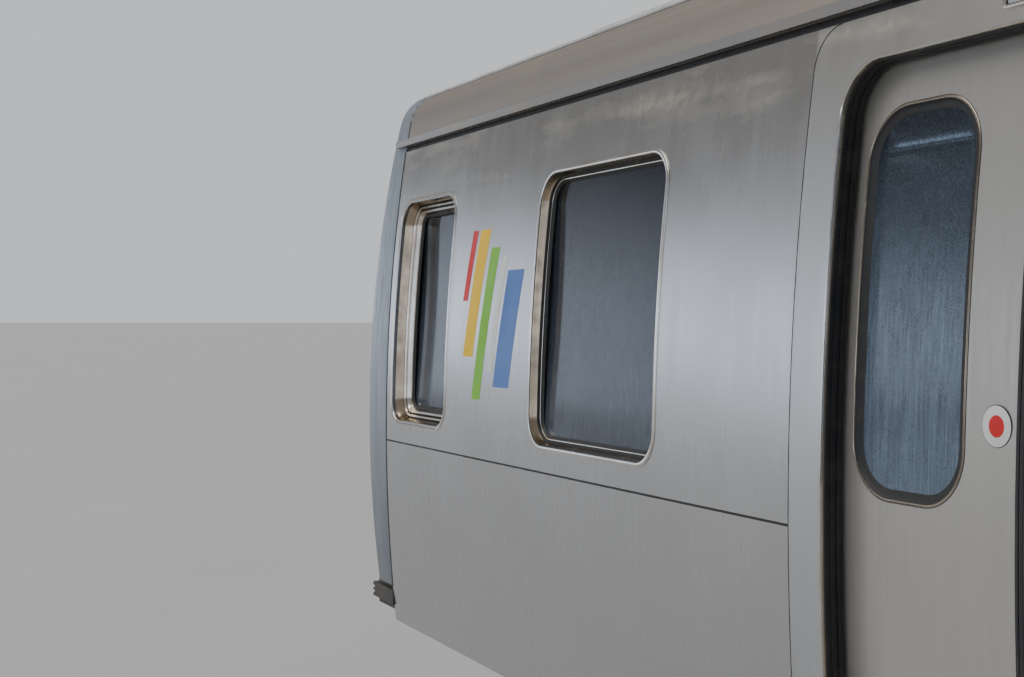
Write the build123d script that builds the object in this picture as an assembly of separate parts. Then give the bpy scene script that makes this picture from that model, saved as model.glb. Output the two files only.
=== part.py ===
from build123d import *
import os
from math import asin, cos, radians, sin, sqrt

# A metro car in millimetres. X runs forward to the cab end, Y to the left, Z up.
# The origin is under the middle of the car, at the bottom of the wheel flanges.

# Driving sizes of the body
CAR_PITCH = 22860.0
COUPLING_X = CAR_PITCH / 2
HALF_WIDTH = 1525.0
WIDEST_Z = 1880.0
SIDE_R = 9100.0
SEAM_X = 10777.0

# Heights
SKIRT_Z = 940.0
SILL_TOP_Z = 1078.0
MASK_BOTTOM_Z = 1109.0
FLOOR_Z = 1128.0
BELT_Z = 1830.0
WINDOW_LOW_Z = 1916.0
WINDOW_TOP_Z = 3001.0
DOORWAY_TOP_Z = 3120.0
GUTTER_Z = 3270.0
CEILING_TOP_Z = 3294.0

# Roof section above the gutter, half of it
GUTTER_Y = 1418.0
CANT_LEAN = 10.0
CANT_Z = 3390.0
CANT_Y = GUTTER_Y - (CANT_Z - GUTTER_Z) * sin(radians(CANT_LEAN)) / cos(radians(CANT_LEAN))
CANT_R = 200.0
ARCH_SLOPE = 15.0
ROOF_SKIN = 60.0
GUTTER_RAIL_LOW = 2.0
GUTTER_RAIL_TALL = 33.0
GUTTER_RAIL_PROUD = 22.0
GUTTER_RAIL_END = 10878.0
ROOF_ROOM_END = 190.0
CEILING_END_X = 10850.0

# Side wall, measured inward from the skin or across the car
GROOVE_TALL = 25.0
GROOVE_DEEP = 12.0
SILL_Y = 1410.0
FLOOR_Y = 1354.0
WALL_TOP_Y = 1284.0
BELT_SEAM_TALL = 8.0
BELT_SEAM_DEEP = 4.0

# Doorways and sliding leaves
DOOR_X = (6420.0, 0.0, -6420.0)
DOORWAY_HALF = 700.0
DOORWAY_CORNER_R = 150.0
PORTAL_HALF = 855.0
POCKET_END = 1410.0
POCKET_HEADROOM = 12.0
LEAF_DEPTH = 76.0
LEAF_THICK = 40.0
LEAF_RUN_GAP = 8.0
LEAF_NOSE = 4.0
LEAF_BACK = 720.0
LEAF_LOW_Z = FLOOR_Z + 10
LEAF_TOP_Z = 3134.0
LEAF_WINDOW_NEAR = 204.0
LEAF_WINDOW_FAR = 648.0
LEAF_WINDOW_LOW_Z = 1939.0
LEAF_WINDOW_TOP_Z = 2989.0
LEAF_WINDOW_R = 150.0
LEAF_PANE_BACK = 10.0
LEAF_PANE_THICK = 12.0
THRESHOLD_TALL = 30.0
THRESHOLD_PROUD = 6.0
INDICATOR_WIDE = 140.0
INDICATOR_LOW_Z = 3165.0
INDICATOR_TALL = 62.0
INDICATOR_DEEP = 24.0
INDICATOR_PROUD = 4.0

# Side windows
WINDOW_R = 130.0
PANE_THICK = 14.0

# Front mask: its face is part of a large sphere
NOSE_X = 11263.0
NOSE_Z = 2055.0
NOSE_R = 6500.0
CORNER_CUT = 40.0
END_CAVITY_BACK = 190.0
END_FLAT_X = 11027.0
END_WALL_THICK = 90.0
MASK_DEPTH = 600.0

# Windows of the two ends
SCREEN_OUT_Y = 1390.0
SCREEN_IN_Y = 440.0
SCREEN_LOW_Z = 2000.0
SCREEN_TOP_Z = 3040.0
SCREEN_R = 140.0
SCREEN_RECESS = 30.0
SCREEN_BORDER = 55.0
SCREEN_LAND = 20.0
REAR_SCREEN_INSET = 100.0

# End doors, hinged on the left jamb of each end
END_DOOR_HALF = 340.0
END_DOOR_GAP = 10.0
END_DOOR_TOP_Z = 3040.0
END_DOOR_THICK = 40.0
END_DOOR_BACK = 20.0
FRONT_HINGE_X = 11060.0
REAR_HINGE_X = 10929.0
END_PANE_BACK = 14.0
END_HANDLE_DEEP = 12.0
END_HANDLE_Y = (-290.0, -270.0)
END_HANDLE_Z = (2080.0, 2260.0)

# Running gear
WHEEL_R = 355.0
FLANGE_R = 383.0
GAUGE = 1435.0
TRUCK_X = 7900.0
WHEELBASE = 2200.0
AXLE_Z = FLANGE_R
AXLE_R = 85.0
JOURNAL_R = 65.0
BEARING_Y = 1010.0
RUN_CLEARANCE = 0.5
BODY_BOLSTER_Z = 905.0
BODY_BOLSTER_HALF = 260.0
BOLSTER_LIFT = 5.0
PIVOT_R = 70.0
PIVOT_LONG = 125.0

# Couplers
COUPLER_Z = 745.0
COUPLER_PIVOT_X = 10350.0
COUPLER_PIN_R = 45.0
COUPLER_EYE_R = 110.0

# Lamps and barrier studs of the front
LAMP_DEEP = 60.0
HEADLAMP_Y = 1268.0
HEADLAMP_Z = 1404.0
HEADLAMP_R = 82.0
REFLECTOR_R = 68.0
REFLECTOR_DEEP = 30.0
BEZEL_PROUD = 12.0
MARKER_Y = 1175.0
MARKER_Z = 3370.0
MARKER_R = 67.0
MARKER_PROUD = 20.0
MARKER_LENS_R = 43.0
LENS_TIP = 40.0
STUD_Y = 1428.0
STUD_Z = (1990.0, 1555.0)
STUD_R = 11.0
STUD_LONG = 170.0
STUD_FOOT_R = 26.0
STUD_FOOT_LONG = 62.0
STUD_DEEP = 30.0

# Windows of the end doors
END_GLASS_HALF = 205.0
END_GLASS_LOW_Z = 2050.0
END_GLASS_TOP_Z = 2900.0
END_GLASS_R = 80.0

# Underframe
DECK_THICK = 26.0
SILL_THICK = 90.0
CENTRE_SILL_Y = 150.0
CROSS_BEARERS_X = (900.0, 2300.0, 3700.0, 5100.0, 6150.0, 9750.0)
BEARER_HALF = 45.0
END_SILL_LOW_Z = 985.0
END_SILL_INSET = 8.0
END_SILL_BACK = 30.0
END_SILL_NARROW = 24.0
STRIP_LOW_Z = 1014.0
STRIP_TOP_Z = 1085.0
STRIP_THICK = 24.0
STRIP_GROOVE = 12.0
STRIP_GROOVES_Z = (1030.0, 1055.0)
ANCHOR_HALF_Y = 150.0
ANCHOR_REAR = 200.0
ANCHOR_FRONT = 90.0
ANCHOR_WEB = 75.0
ANCHOR_PLATE = 30.0
EYE_HALF_TALL = 72.0
EYE_GAP = 8.0

# Coupler head
SHANK_R = 75.0
HEAD_LONG = 300.0
HEAD_HALF = 170.0
HEAD_TOP = 160.0
HEAD_CORNER = 70.0
BOX_LONG = 240.0
BOX_BACK = 10.0
BOX_HALF = 260.0
BOX_TALL = 130.0
GUIDE_LONG = 110.0
GUIDE_R = 50.0
CUP_R = 62.0
CUP_DEEP = 125.0
GUIDE_Y = 88.0

# Trucks. The side frame's line runs over the front half from the top middle to the bottom middle
# Columns: X, Z
FRAME_LINE = (
    (520.0, 540.0), (700.0, 620.0), (1340.0, 590.0), (1340.0, 500.0), (1270.0, 480.0), (1270.0, 255.0),
    (930.0, 255.0), (930.0, 450.0), (640.0, 400.0),
)
FRAME_HALF_Y = 75.0
AIR_SPRING_R = 250.0
SPRING_SEAT_Z = 535.0
TRANSOM_HALF = 240.0
TRANSOM_Z = (430.0, 530.0)
POST_HALF = 140.0
BRAKE_NEAR_X = 570.0
BRAKE_FAR_X = 690.0
BRAKE_IN_Y = 700.0
BRAKE_LOW_Z = 400.0
BOLSTER_LOW_Z = 700.0
BOLSTER_HALF_X = 230.0
BOLSTER_HALF_Y = 1240.0
BOLSTER_TIP_Z = 790.0
BOLSTER_TOP_Y = 520.0
BOLSTER_TOP_Z = 880.0
CENTRE_PLATE_R = 300.0
MOTOR_X = 560.0
MOTOR_Z = 400.0
MOTOR_R = 205.0
MOTOR_HALF = 360.0
BRACKET_HALF = 260.0
GEAR_BACK = 160.0
GEAR_FRONT = 190.0
GEAR_LOW = 180.0
GEAR_WIDE = 180.0
GEAR_CORNER = 175.0
GEAR_GAP = 10.0
# Collector shoe and its beam. Columns: half length, near Y, far Y, lower Z, upper Z
SHOE_BLOCKS = (
    (330.0, 1085.0, 1170.0, 340.0, 470.0), (430.0, 1170.0, 1230.0, 300.0, 420.0),
    (110.0, 1230.0, 1270.0, 232.0, 400.0), (110.0, 1230.0, 1470.0, 232.0, 262.0),
)

# Wheelsets
AXLE_HALF = 1055.0
FLANGE_THICK = 32.0
RIM_WIDE = 135.0
RIM_R = 300.0
DISH_DEEP = 45.0
DISH_FOOT = 40.0
HUB_R = 130.0
HUB_PROUD = 20.0

# Inside
SEAT_IN_Y = 440.0
SEAT_OUT_Y = 1290.0
SEAT_ROWS_X = (
    9350.0, 8600.0, 7850.0, 4700.0, 3950.0, 3200.0, 2450.0, 1700.0,
    -1700.0, -2450.0, -3200.0, -3950.0, -4700.0, -7850.0, -8600.0, -9350.0, -10100.0,
)
# Side view of a seat shell. Columns: forward distance, height over the floor
SEAT_LINE = (
    (-215.0, 400.0), (215.0, 380.0), (225.0, 450.0), (-110.0, 440.0), (-145.0, 500.0), (-200.0, 1010.0),
    (-260.0, 1010.0), (-215.0, 400.0),
)
SEAT_LEG_TALL = 400.0
SEAT_LEG_HALF = 115.0
SEAT_LEG_IN_Y = 970.0
SEAT_LEG_OUT_Y = 1250.0
DRIVER_X = 10250.0
DRIVER_Y = 850.0
DRIVER_SEAT_HALF = 250.0
SCREEN_PANEL_X = 900.0
SCREEN_PANEL_HALF = 12.0
SCREEN_PANEL_TALL = 1750.0
SCREEN_PANEL_IN_Y = 500.0
SCREEN_PANEL_OUT_Y = 1280.0
POLE_Y = 480.0
POLE_R = 19.0
BULKHEAD_X = 9750.0
BULKHEAD_THICK = 40.0
CAB_DOOR_HALF = 330.0
CAB_DOOR_TOP_Z = 3080.0
# Side view of the driver's desk. Columns: forward distance, height over the floor
DESK_X = 10620.0
DESK_LINE = ((0.0, 0.0), (0.0, 700.0), (20.0, 800.0), (290.0, 900.0), (290.0, 0.0))
DESK_RIGHT_Y = -1290.0
DESK_LEFT_Y = -420.0

# Roof units
HVAC_FROM_X = 5850.0
HVAC_TO_X = 10330.0
HVAC_HALF = 690.0
HVAC_FOOT_Z = 3500.0
HVAC_TOP_Z = 3815.0
HVAC_EDGE = 50.0
HVAC_END_TALL = 70.0
HVAC_END_LONG = 80.0
HATCH_FROM_X = 6830.0
HATCH_TO_X = 8230.0
HATCH_HALF = 430.0
HATCH_TALL = 90.0
HATCH_LEAN = 0.8
GRILLE_LOW = 14.0
GRILLE_PITCH = 21.0
GRILLE_SLOT = 13.0
GRILLE_SLOTS = 3
GRILLE_BAYS = 3
GRILLE_POST = 40.0
GRILLE_DEEP = 24.0
FANS_X = (7180.0, 7880.0)
FAN_R = 290.0
FAN_DEEP = 36.0
FAN_HUB_R = 60.0
FAN_BAR_HALF = 9.0
FAN_BAR_TALL = 8.0

# Equipment under the floor
CASE_CORNER = 60.0
# Columns: rear X, front X, right Y, left Y, lowest Z
CASES = (
    (4150.0, 5750.0, -1330.0, -250.0, 420.0), (4300.0, 5600.0, 250.0, 1330.0, 470.0),
    (1900.0, 3700.0, -1330.0, -150.0, 400.0), (2100.0, 3600.0, 350.0, 1330.0, 520.0),
    (-700.0, 1300.0, 200.0, 1330.0, 430.0), (-500.0, 1200.0, -1330.0, -300.0, 500.0),
    (-3400.0, -1300.0, -1330.0, 150.0, 440.0), (-5600.0, -4100.0, -1330.0, -350.0, 400.0),
    (-5700.0, -4400.0, 250.0, 1330.0, 560.0),
)
TANKS_Y = (500.0, 980.0)
TANK_R = 150.0
TANK_DROP = 20.0
TANK_REAR_X = -3300.0
TANK_FRONT_X = -1500.0
TANK_STRAPS_X = (-3000.0, -1800.0)
STRAP_HALF_X = 30.0
STRAP_HALF_Y = 60.0
STRAP_TALL = 60.0

NODES = {}


def node(name, *solids):
    """Keep the solids of one node under its name."""
    NODES[name] = list(solids)


def in_yz(y, z):
    return (0, y, z)


def in_xz(x, z):
    return (x, 0, z)


def outline(place, *path):
    """A flat face. A path step is the next corner, or a pair: the middle and the end of an arc."""
    here = path[0]
    edges = []
    for step in path[1:]:
        if isinstance(step[0], tuple):
            middle, end = step
            edges.append(ThreePointArc(place(*here), place(*middle), place(*end)))
        else:
            end = step
            if end != here:
                edges.append(Line(place(*here), place(*end)))
        here = end
    if here != path[0]:
        edges.append(Line(place(*here), place(*path[0])))
    return Face(Wire(edges))


def along_x(face, x0, x1):
    return Pos(x0, 0, 0) * extrude(face, amount=x1 - x0, dir=(1, 0, 0))


def along_y(face, y0, y1):
    return Pos(0, y0, 0) * extrude(face, amount=y1 - y0, dir=(0, 1, 0))


def block(x0, x1, y0, y1, z0, z1):
    """A box between two corners."""
    middle = ((x0 + x1) / 2, (y0 + y1) / 2, (z0 + z1) / 2)
    return Pos(*middle) * Box(abs(x1 - x0), abs(y1 - y0), abs(z1 - z0))


def rod_y(x, z, r, y0, y1):
    return Pos(x, (y0 + y1) / 2, z) * Rot(90, 0, 0) * Cylinder(r, abs(y1 - y0))


def rod_x(y, z, r, x0, x1):
    return Pos((x0 + x1) / 2, y, z) * Rot(0, 90, 0) * Cylinder(r, abs(x1 - x0))


def rod_z(x, y, r, z0, z1):
    return Pos(x, y, (z0 + z1) / 2) * Cylinder(r, abs(z1 - z0))


def rounded(place, a0, a1, b0, b1, r):
    """A rectangle with round corners."""
    q = r * (1 - sin(radians(45)))
    return outline(
        place,
        (a0 + r, b0), (a1 - r, b0), ((a1 - q, b0 + q), (a1, b0 + r)),
        (a1, b1 - r), ((a1 - q, b1 - q), (a1 - r, b1)),
        (a0 + r, b1), ((a0 + q, b1 - q), (a0, b1 - r)),
        (a0, b0 + r), ((a0 + q, b0 + q), (a0 + r, b0)),
    )


def right_of(solid):
    """The same solid on the other side of the car."""
    return mirror(solid, Plane.XZ)


def rear_of(solid):
    """The same solid at the other end of the car."""
    return mirror(solid, Plane.YZ)


def both_sides(*solids):
    pairs = []
    for solid in solids:
        pairs += [solid, right_of(solid)]
    return pairs


def side_y(z, depth=0.0):
    """Half width of the car at a height, at a depth inside the skin."""
    return HALF_WIDTH - SIDE_R + sqrt((SIDE_R - depth) ** 2 - (z - WIDEST_Z) ** 2)


def side_strip(z0, z1, depth0, depth1):
    """Section of the side between two heights and two depths inside the skin."""
    middle = (z0 + z1) / 2
    return outline(
        in_yz,
        (side_y(z0, depth0), z0),
        ((side_y(middle, depth0), middle), (side_y(z1, depth0), z1)),
        (side_y(z1, depth1), z1),
        ((side_y(middle, depth1), middle), (side_y(z0, depth1), z0)),
    )


def wall_section():
    """Section of the side wall: curved skin outside, one flat lining inside."""
    groove_z = GUTTER_Z - GROOVE_TALL
    middle = (SKIRT_Z + groove_z) / 2
    return outline(
        in_yz,
        (side_y(SKIRT_Z), SKIRT_Z),
        ((side_y(middle), middle), (side_y(groove_z), groove_z)),
        (side_y(groove_z) - GROOVE_DEEP, groove_z),
        (GUTTER_Y - GROOVE_DEEP, GUTTER_Z),
        (WALL_TOP_Y, GUTTER_Z),
        (FLOOR_Y, FLOOR_Z),
        (FLOOR_Y, SILL_TOP_Z),
        (SILL_Y, SILL_TOP_Z),
        (SILL_Y, SKIRT_Z),
    )


def roof_half(depth):
    """Corners of half the roof line at a depth inside the skin, from the gutter to the crest."""
    lean = radians(CANT_LEAN)
    slope = radians(ARCH_SLOPE)
    centre = (CANT_Y - CANT_R * cos(lean), CANT_Z - CANT_R * sin(lean))
    r = CANT_R - depth
    half_turn = (lean + radians(90) - slope) / 2
    foot = (GUTTER_Y - depth / cos(lean), GUTTER_Z)
    shoulder = (centre[0] + r * cos(lean), centre[1] + r * sin(lean))
    cant = (centre[0] + r * cos(half_turn), centre[1] + r * sin(half_turn))
    top = (centre[0] + r * sin(slope), centre[1] + r * cos(slope))
    arch_r = (centre[0] + CANT_R * sin(slope)) / sin(slope)
    crest_z = centre[1] + CANT_R * cos(slope) + arch_r * (1 - cos(slope)) - depth
    return foot, shoulder, cant, top, crest_z


def flipped(point):
    return (-point[0], point[1])


def roof_section():
    """Section of the roof shell."""
    foot, shoulder, cant, top, crest_z = roof_half(0)
    foot_in, shoulder_in, cant_in, top_in, crest_in = roof_half(ROOF_SKIN)
    return outline(
        in_yz,
        foot, shoulder, (cant, top), ((0, crest_z), flipped(top)),
        (flipped(cant), flipped(shoulder)), flipped(foot),
        flipped(foot_in), flipped(shoulder_in), (flipped(cant_in), flipped(top_in)),
        ((0, crest_in), top_in), (cant_in, shoulder_in), foot_in,
    )


def body_section(low_z):
    """The whole outer section of the car above a height."""
    foot, shoulder, cant, top, crest_z = roof_half(0)
    middle = (low_z + GUTTER_Z) / 2
    return outline(
        in_yz,
        (side_y(low_z), low_z), ((side_y(middle), middle), foot),
        shoulder, (cant, top), ((0, crest_z), flipped(top)),
        (flipped(cant), flipped(shoulder)), flipped(foot),
        ((-side_y(middle), middle), (-side_y(low_z), low_z)),
    )


# Side windows
# Columns: centre X, half width of the frame outside, recess of the pane, width of the frame
FRONT_WINDOWS = ((8575.0, 515.0, 46.0, 20.0), (10349.5, 366.5, 92.0, 20.0))
MIDDLE_WINDOWS = ((2315.0, 675.0, 46.0, 20.0), (4145.0, 675.0, 46.0, 20.0))
REAR_WINDOWS = ((-8575.0, 515.0, 46.0, 20.0), (-9985.0, 515.0, 46.0, 20.0))


def window_throat(centre, half, border):
    """Outline of the hole for one side window."""
    return rounded(
        in_xz, centre - half + border, centre + half - border, WINDOW_LOW_Z + border, WINDOW_TOP_Z - border,
        WINDOW_R - border,
    )


def window_pane(centre, half, recess, border):
    """Flat pane set in its hole, on the slope of the side there."""
    low = WINDOW_LOW_Z + border
    top = WINDOW_TOP_Z - border
    low_y = side_y(low) - recess
    top_y = side_y(top) - recess
    plate = outline(
        in_yz, (low_y, low - 1), (top_y, top + 1),
        (top_y - PANE_THICK, top + 1), (low_y - PANE_THICK, low - 1),
    )
    hole = along_y(window_throat(centre, half, border), WALL_TOP_Y, HALF_WIDTH)
    return along_x(plate, centre - half, centre + half) & hole


def pocket(x0, x1):
    """Room for a sliding leaf inside the wall."""
    strip = side_strip(
        FLOOR_Z, LEAF_TOP_Z + POCKET_HEADROOM,
        LEAF_DEPTH - LEAF_RUN_GAP, LEAF_DEPTH + LEAF_THICK + LEAF_RUN_GAP,
    )
    return along_x(strip, x0, x1)


def make_bays():
    """Side wall panels between the doorways, and their panes."""
    wall = wall_section()
    seam = side_strip(BELT_Z - BELT_SEAM_TALL / 2, BELT_Z + BELT_SEAM_TALL / 2, -5, BELT_SEAM_DEEP)
    inside = POCKET_END - PORTAL_HALF
    # Columns: rear X, front X, pocket at the rear end, pocket at the front end, windows
    bays = (
        (DOOR_X[0] + PORTAL_HALF, SEAM_X, True, False, FRONT_WINDOWS),
        (DOOR_X[1] + PORTAL_HALF, DOOR_X[0] - PORTAL_HALF, True, True, MIDDLE_WINDOWS),
        (DOOR_X[2] + PORTAL_HALF, DOOR_X[1] - PORTAL_HALF, True, True,
         tuple((-x, half, recess, border) for x, half, recess, border in MIDDLE_WINDOWS)),
        (-SEAM_X, DOOR_X[2] - PORTAL_HALF, False, True, REAR_WINDOWS),
    )
    panels = []
    panes = []
    for rear_x, front_x, rear_pocket, front_pocket, windows in bays:
        panel = along_x(wall, rear_x, front_x)
        if rear_pocket:
            panel -= pocket(rear_x, rear_x + inside)
        if front_pocket:
            panel -= pocket(front_x - inside, front_x)
        for window in windows:
            centre, half, recess, border = window
            panel -= along_y(window_throat(centre, half, border), WALL_TOP_Y - 20, HALF_WIDTH + 5)
            panes.append(window_pane(*window))
        panels.append(panel - along_x(seam, rear_x, front_x))
    return both_sides(*panels), both_sides(*panes)


def make_portals():
    """One panel round each doorway, open for the leaves, with its threshold and the lamp over it."""
    wall = wall_section()
    portals = []
    thresholds = []
    lamps = []
    corner = DOORWAY_CORNER_R
    q = corner * (1 - sin(radians(45)))
    for x in DOOR_X:
        low = FLOOR_Z - THRESHOLD_TALL
        mouth = outline(
            in_xz,
            (x - DOORWAY_HALF, low), (x + DOORWAY_HALF, low), (x + DOORWAY_HALF, DOORWAY_TOP_Z - corner),
            ((x + DOORWAY_HALF - q, DOORWAY_TOP_Z - q), (x + DOORWAY_HALF - corner, DOORWAY_TOP_Z)),
            (x - DOORWAY_HALF + corner, DOORWAY_TOP_Z),
            ((x - DOORWAY_HALF + q, DOORWAY_TOP_Z - q), (x - DOORWAY_HALF, DOORWAY_TOP_Z - corner)),
        )
        portal = along_x(wall, x - PORTAL_HALF, x + PORTAL_HALF)
        portal -= along_y(mouth, WALL_TOP_Y - 20, HALF_WIDTH + 20)
        portal -= pocket(x - PORTAL_HALF, x + PORTAL_HALF)
        face_y = side_y(INDICATOR_LOW_Z + INDICATOR_TALL / 2)
        lamp = block(
            x - INDICATOR_WIDE / 2, x + INDICATOR_WIDE / 2,
            face_y - INDICATOR_DEEP, face_y + INDICATOR_PROUD,
            INDICATOR_LOW_Z, INDICATOR_LOW_Z + INDICATOR_TALL,
        )
        portals.append(portal - lamp)
        lamps.append(lamp)
        thresholds.append(block(
            x - DOORWAY_HALF, x + DOORWAY_HALF, FLOOR_Y, side_y(FLOOR_Z) + THRESHOLD_PROUD, low, FLOOR_Z
        ))
    return both_sides(*portals), both_sides(*thresholds), both_sides(*lamps)


def make_leaf():
    """The front leaf of the doorway at X = 0, left side, with its pane."""
    strip = side_strip(LEAF_LOW_Z, LEAF_TOP_Z, LEAF_DEPTH, LEAF_DEPTH + LEAF_THICK)
    hole = rounded(
        in_xz, LEAF_WINDOW_NEAR, LEAF_WINDOW_FAR, LEAF_WINDOW_LOW_Z, LEAF_WINDOW_TOP_Z, LEAF_WINDOW_R
    )
    shaft = along_y(hole, WALL_TOP_Y, HALF_WIDTH)
    leaf = along_x(strip, LEAF_NOSE, LEAF_BACK) - shaft
    front = LEAF_DEPTH + LEAF_PANE_BACK
    inner = side_strip(LEAF_WINDOW_LOW_Z - 1, LEAF_WINDOW_TOP_Z + 1, front, front + LEAF_PANE_THICK)
    pane = along_x(inner, LEAF_WINDOW_NEAR - 1, LEAF_WINDOW_FAR + 1) & shaft
    return leaf, pane


def make_leaves():
    """Twelve leaves: a front and a rear one in each doorway on each side."""
    leaf, pane = make_leaf()
    for number, x in enumerate(DOOR_X, start=1):
        for side in ("left", "right"):
            for end in ("front", "rear"):
                placed = []
                for solid in (leaf, pane):
                    if end == "rear":
                        solid = rear_of(solid)
                    if side == "right":
                        solid = right_of(solid)
                    placed.append(Pos(x, 0, 0) * solid)
                node(f"door_{number}_{side}_{end}_leaf", placed[0])
                node(f"door_{number}_{side}_{end}_glass", placed[1])


def nose(depth):
    """All that lies behind the front surface, down to a depth inside it."""
    return Pos(NOSE_X - NOSE_R, 0, NOSE_Z) * Sphere(NOSE_R - depth)


def nose_x(y, z):
    """X of the front surface at a place across and up the mask."""
    return NOSE_X - NOSE_R + sqrt(NOSE_R ** 2 - y ** 2 - (z - NOSE_Z) ** 2)


def cabin_section(low_z, high_z):
    """Section of the cabin inside the linings."""
    return outline(
        in_yz, (FLOOR_Y, low_z), (FLOOR_Y, FLOOR_Z), (WALL_TOP_Y, GUTTER_Z), (WALL_TOP_Y, high_z),
        (-WALL_TOP_Y, high_z), (-WALL_TOP_Y, GUTTER_Z), (-FLOOR_Y, FLOOR_Z), (-FLOOR_Y, low_z),
    )


def roof_room():
    """Section of the space over the ceiling."""
    foot, shoulder, cant, top, crest_z = roof_half(ROOF_SKIN)
    return outline(
        in_yz, foot, shoulder, (cant, top), ((0, crest_z), flipped(top)),
        (flipped(cant), flipped(shoulder)), flipped(foot),
    )


def behind_plan(inset, z0, z1):
    """All that lies behind the plan curve of the nose, drawn in by an inset, between two heights."""
    drum = rod_z(NOSE_X - NOSE_R, 0, NOSE_R - inset, z0, z1)
    return drum & block(NOSE_X - NOSE_R, NOSE_X, -HALF_WIDTH, HALF_WIDTH, z0, z1)


def end_screen(inset):
    """Outline of the left window of an end, drawn in by an inset."""
    return rounded(
        in_yz, SCREEN_IN_Y + inset, SCREEN_OUT_Y - inset, SCREEN_LOW_Z + inset, SCREEN_TOP_Z - inset,
        SCREEN_R - inset,
    )


def turned_x(x, y, z, *profile):
    """A body of revolution about a line along X. The profile holds forward distance and radius."""
    face = outline(in_xz, *profile)
    return Pos(x, y, z) * revolve(face, axis=Axis.X, revolution_arc=360)


def lamp_bodies():
    """Headlamps and red marker lamps of the front, left side."""
    head_x = nose_x(HEADLAMP_Y, HEADLAMP_Z)
    headlamp = turned_x(
        head_x, HEADLAMP_Y, HEADLAMP_Z,
        (-LAMP_DEEP, 0), (-LAMP_DEEP, HEADLAMP_R), (BEZEL_PROUD, HEADLAMP_R), (BEZEL_PROUD, REFLECTOR_R),
        (-REFLECTOR_DEEP, REFLECTOR_R), (-REFLECTOR_DEEP, 0),
    )
    dome = LENS_TIP - MARKER_PROUD
    lens_r = (MARKER_LENS_R ** 2 + dome ** 2) / (2 * dome)
    half_turn = asin(MARKER_LENS_R / lens_r) / 2
    lens_middle = (LENS_TIP - lens_r * (1 - cos(half_turn)), lens_r * sin(half_turn))
    marker_x = nose_x(MARKER_Y, MARKER_Z)
    marker = turned_x(
        marker_x, MARKER_Y, MARKER_Z,
        (-LAMP_DEEP, 0), (-LAMP_DEEP, MARKER_R), (MARKER_PROUD, MARKER_R),
        (MARKER_PROUD, MARKER_LENS_R), (lens_middle, (LENS_TIP, 0)),
    )
    return headlamp, marker


def stud_bodies():
    """Brass barrier studs on rubber feet, on the left corner of the front."""
    studs = []
    for z in STUD_Z:
        x = nose_x(STUD_Y, z)
        studs.append(turned_x(
            x, STUD_Y, z, (-STUD_DEEP, 0), (-STUD_DEEP, STUD_FOOT_R), (STUD_FOOT_LONG, STUD_FOOT_R),
            (STUD_FOOT_LONG, STUD_R), (STUD_LONG, STUD_R), (STUD_LONG, 0),
        ))
    return studs


def make_front():
    """The painted front mask with its windscreens, lamps and studs."""
    crest_z = roof_half(0)[-1]
    mask = along_x(body_section(MASK_BOTTOM_Z), SEAM_X, SEAM_X + MASK_DEPTH) & nose(0)
    rim = [e for e in mask.edges() if e.center().X > SEAM_X + 100 and e.center().Z > MASK_BOTTOM_Z + 5]
    mask = chamfer(rim, CORNER_CUT)
    cavity = along_x(cabin_section(MASK_BOTTOM_Z - 1, CEILING_TOP_Z), SEAM_X - 1, SEAM_X + MASK_DEPTH)
    mask -= cavity & behind_plan(END_CAVITY_BACK, SKIRT_Z, crest_z)
    mask -= along_x(roof_room(), SEAM_X - 1, SEAM_X + ROOF_ROOM_END)
    recess = along_x(end_screen(0), SEAM_X + 60, SEAM_X + MASK_DEPTH) - nose(SCREEN_RECESS)
    opening = along_x(end_screen(SCREEN_BORDER + SCREEN_LAND), SEAM_X + 60, SEAM_X + MASK_DEPTH)
    pane = along_x(end_screen(SCREEN_BORDER), SEAM_X + 60, SEAM_X + MASK_DEPTH)
    pane = (pane & nose(SCREEN_RECESS - PANE_THICK)) - nose(SCREEN_RECESS)
    for cut in both_sides(recess, opening):
        mask -= cut
    mask -= block(
        SEAM_X - 1, SEAM_X + MASK_DEPTH, -END_DOOR_HALF - END_DOOR_GAP, END_DOOR_HALF + END_DOOR_GAP,
        FLOOR_Z, END_DOOR_TOP_Z + END_DOOR_GAP,
    )
    lamps = both_sides(*lamp_bodies())
    studs = both_sides(*stud_bodies())
    for fitted in lamps + studs:
        mask -= fitted
    return mask, both_sides(pane), lamps, studs


def make_rear():
    """The flat rear end wall with its two panes."""
    wall = along_x(body_section(MASK_BOTTOM_Z), -END_FLAT_X, -SEAM_X)
    rim = [e for e in wall.edges() if e.center().X < -END_FLAT_X + 1 and e.center().Z > MASK_BOTTOM_Z + 5]
    wall = chamfer(rim, CORNER_CUT)
    wall -= along_x(cabin_section(MASK_BOTTOM_Z - 1, CEILING_TOP_Z), END_WALL_THICK - END_FLAT_X, 1 - SEAM_X)
    wall -= along_x(roof_room(), END_WALL_THICK - END_FLAT_X, 1 - SEAM_X)
    outer = -END_FLAT_X + SCREEN_RECESS
    for cut in both_sides(
        along_x(end_screen(REAR_SCREEN_INSET), -END_FLAT_X - 1, outer),
        along_x(end_screen(REAR_SCREEN_INSET + SCREEN_LAND), -END_FLAT_X - 1, -SEAM_X),
    ):
        wall -= cut
    wall -= block(
        -END_FLAT_X - 1, -SEAM_X + 1, -END_DOOR_HALF - END_DOOR_GAP, END_DOOR_HALF + END_DOOR_GAP,
        FLOOR_Z, END_DOOR_TOP_Z + END_DOOR_GAP,
    )
    pane = along_x(end_screen(REAR_SCREEN_INSET), outer - PANE_THICK, outer)
    return wall, both_sides(pane)


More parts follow.
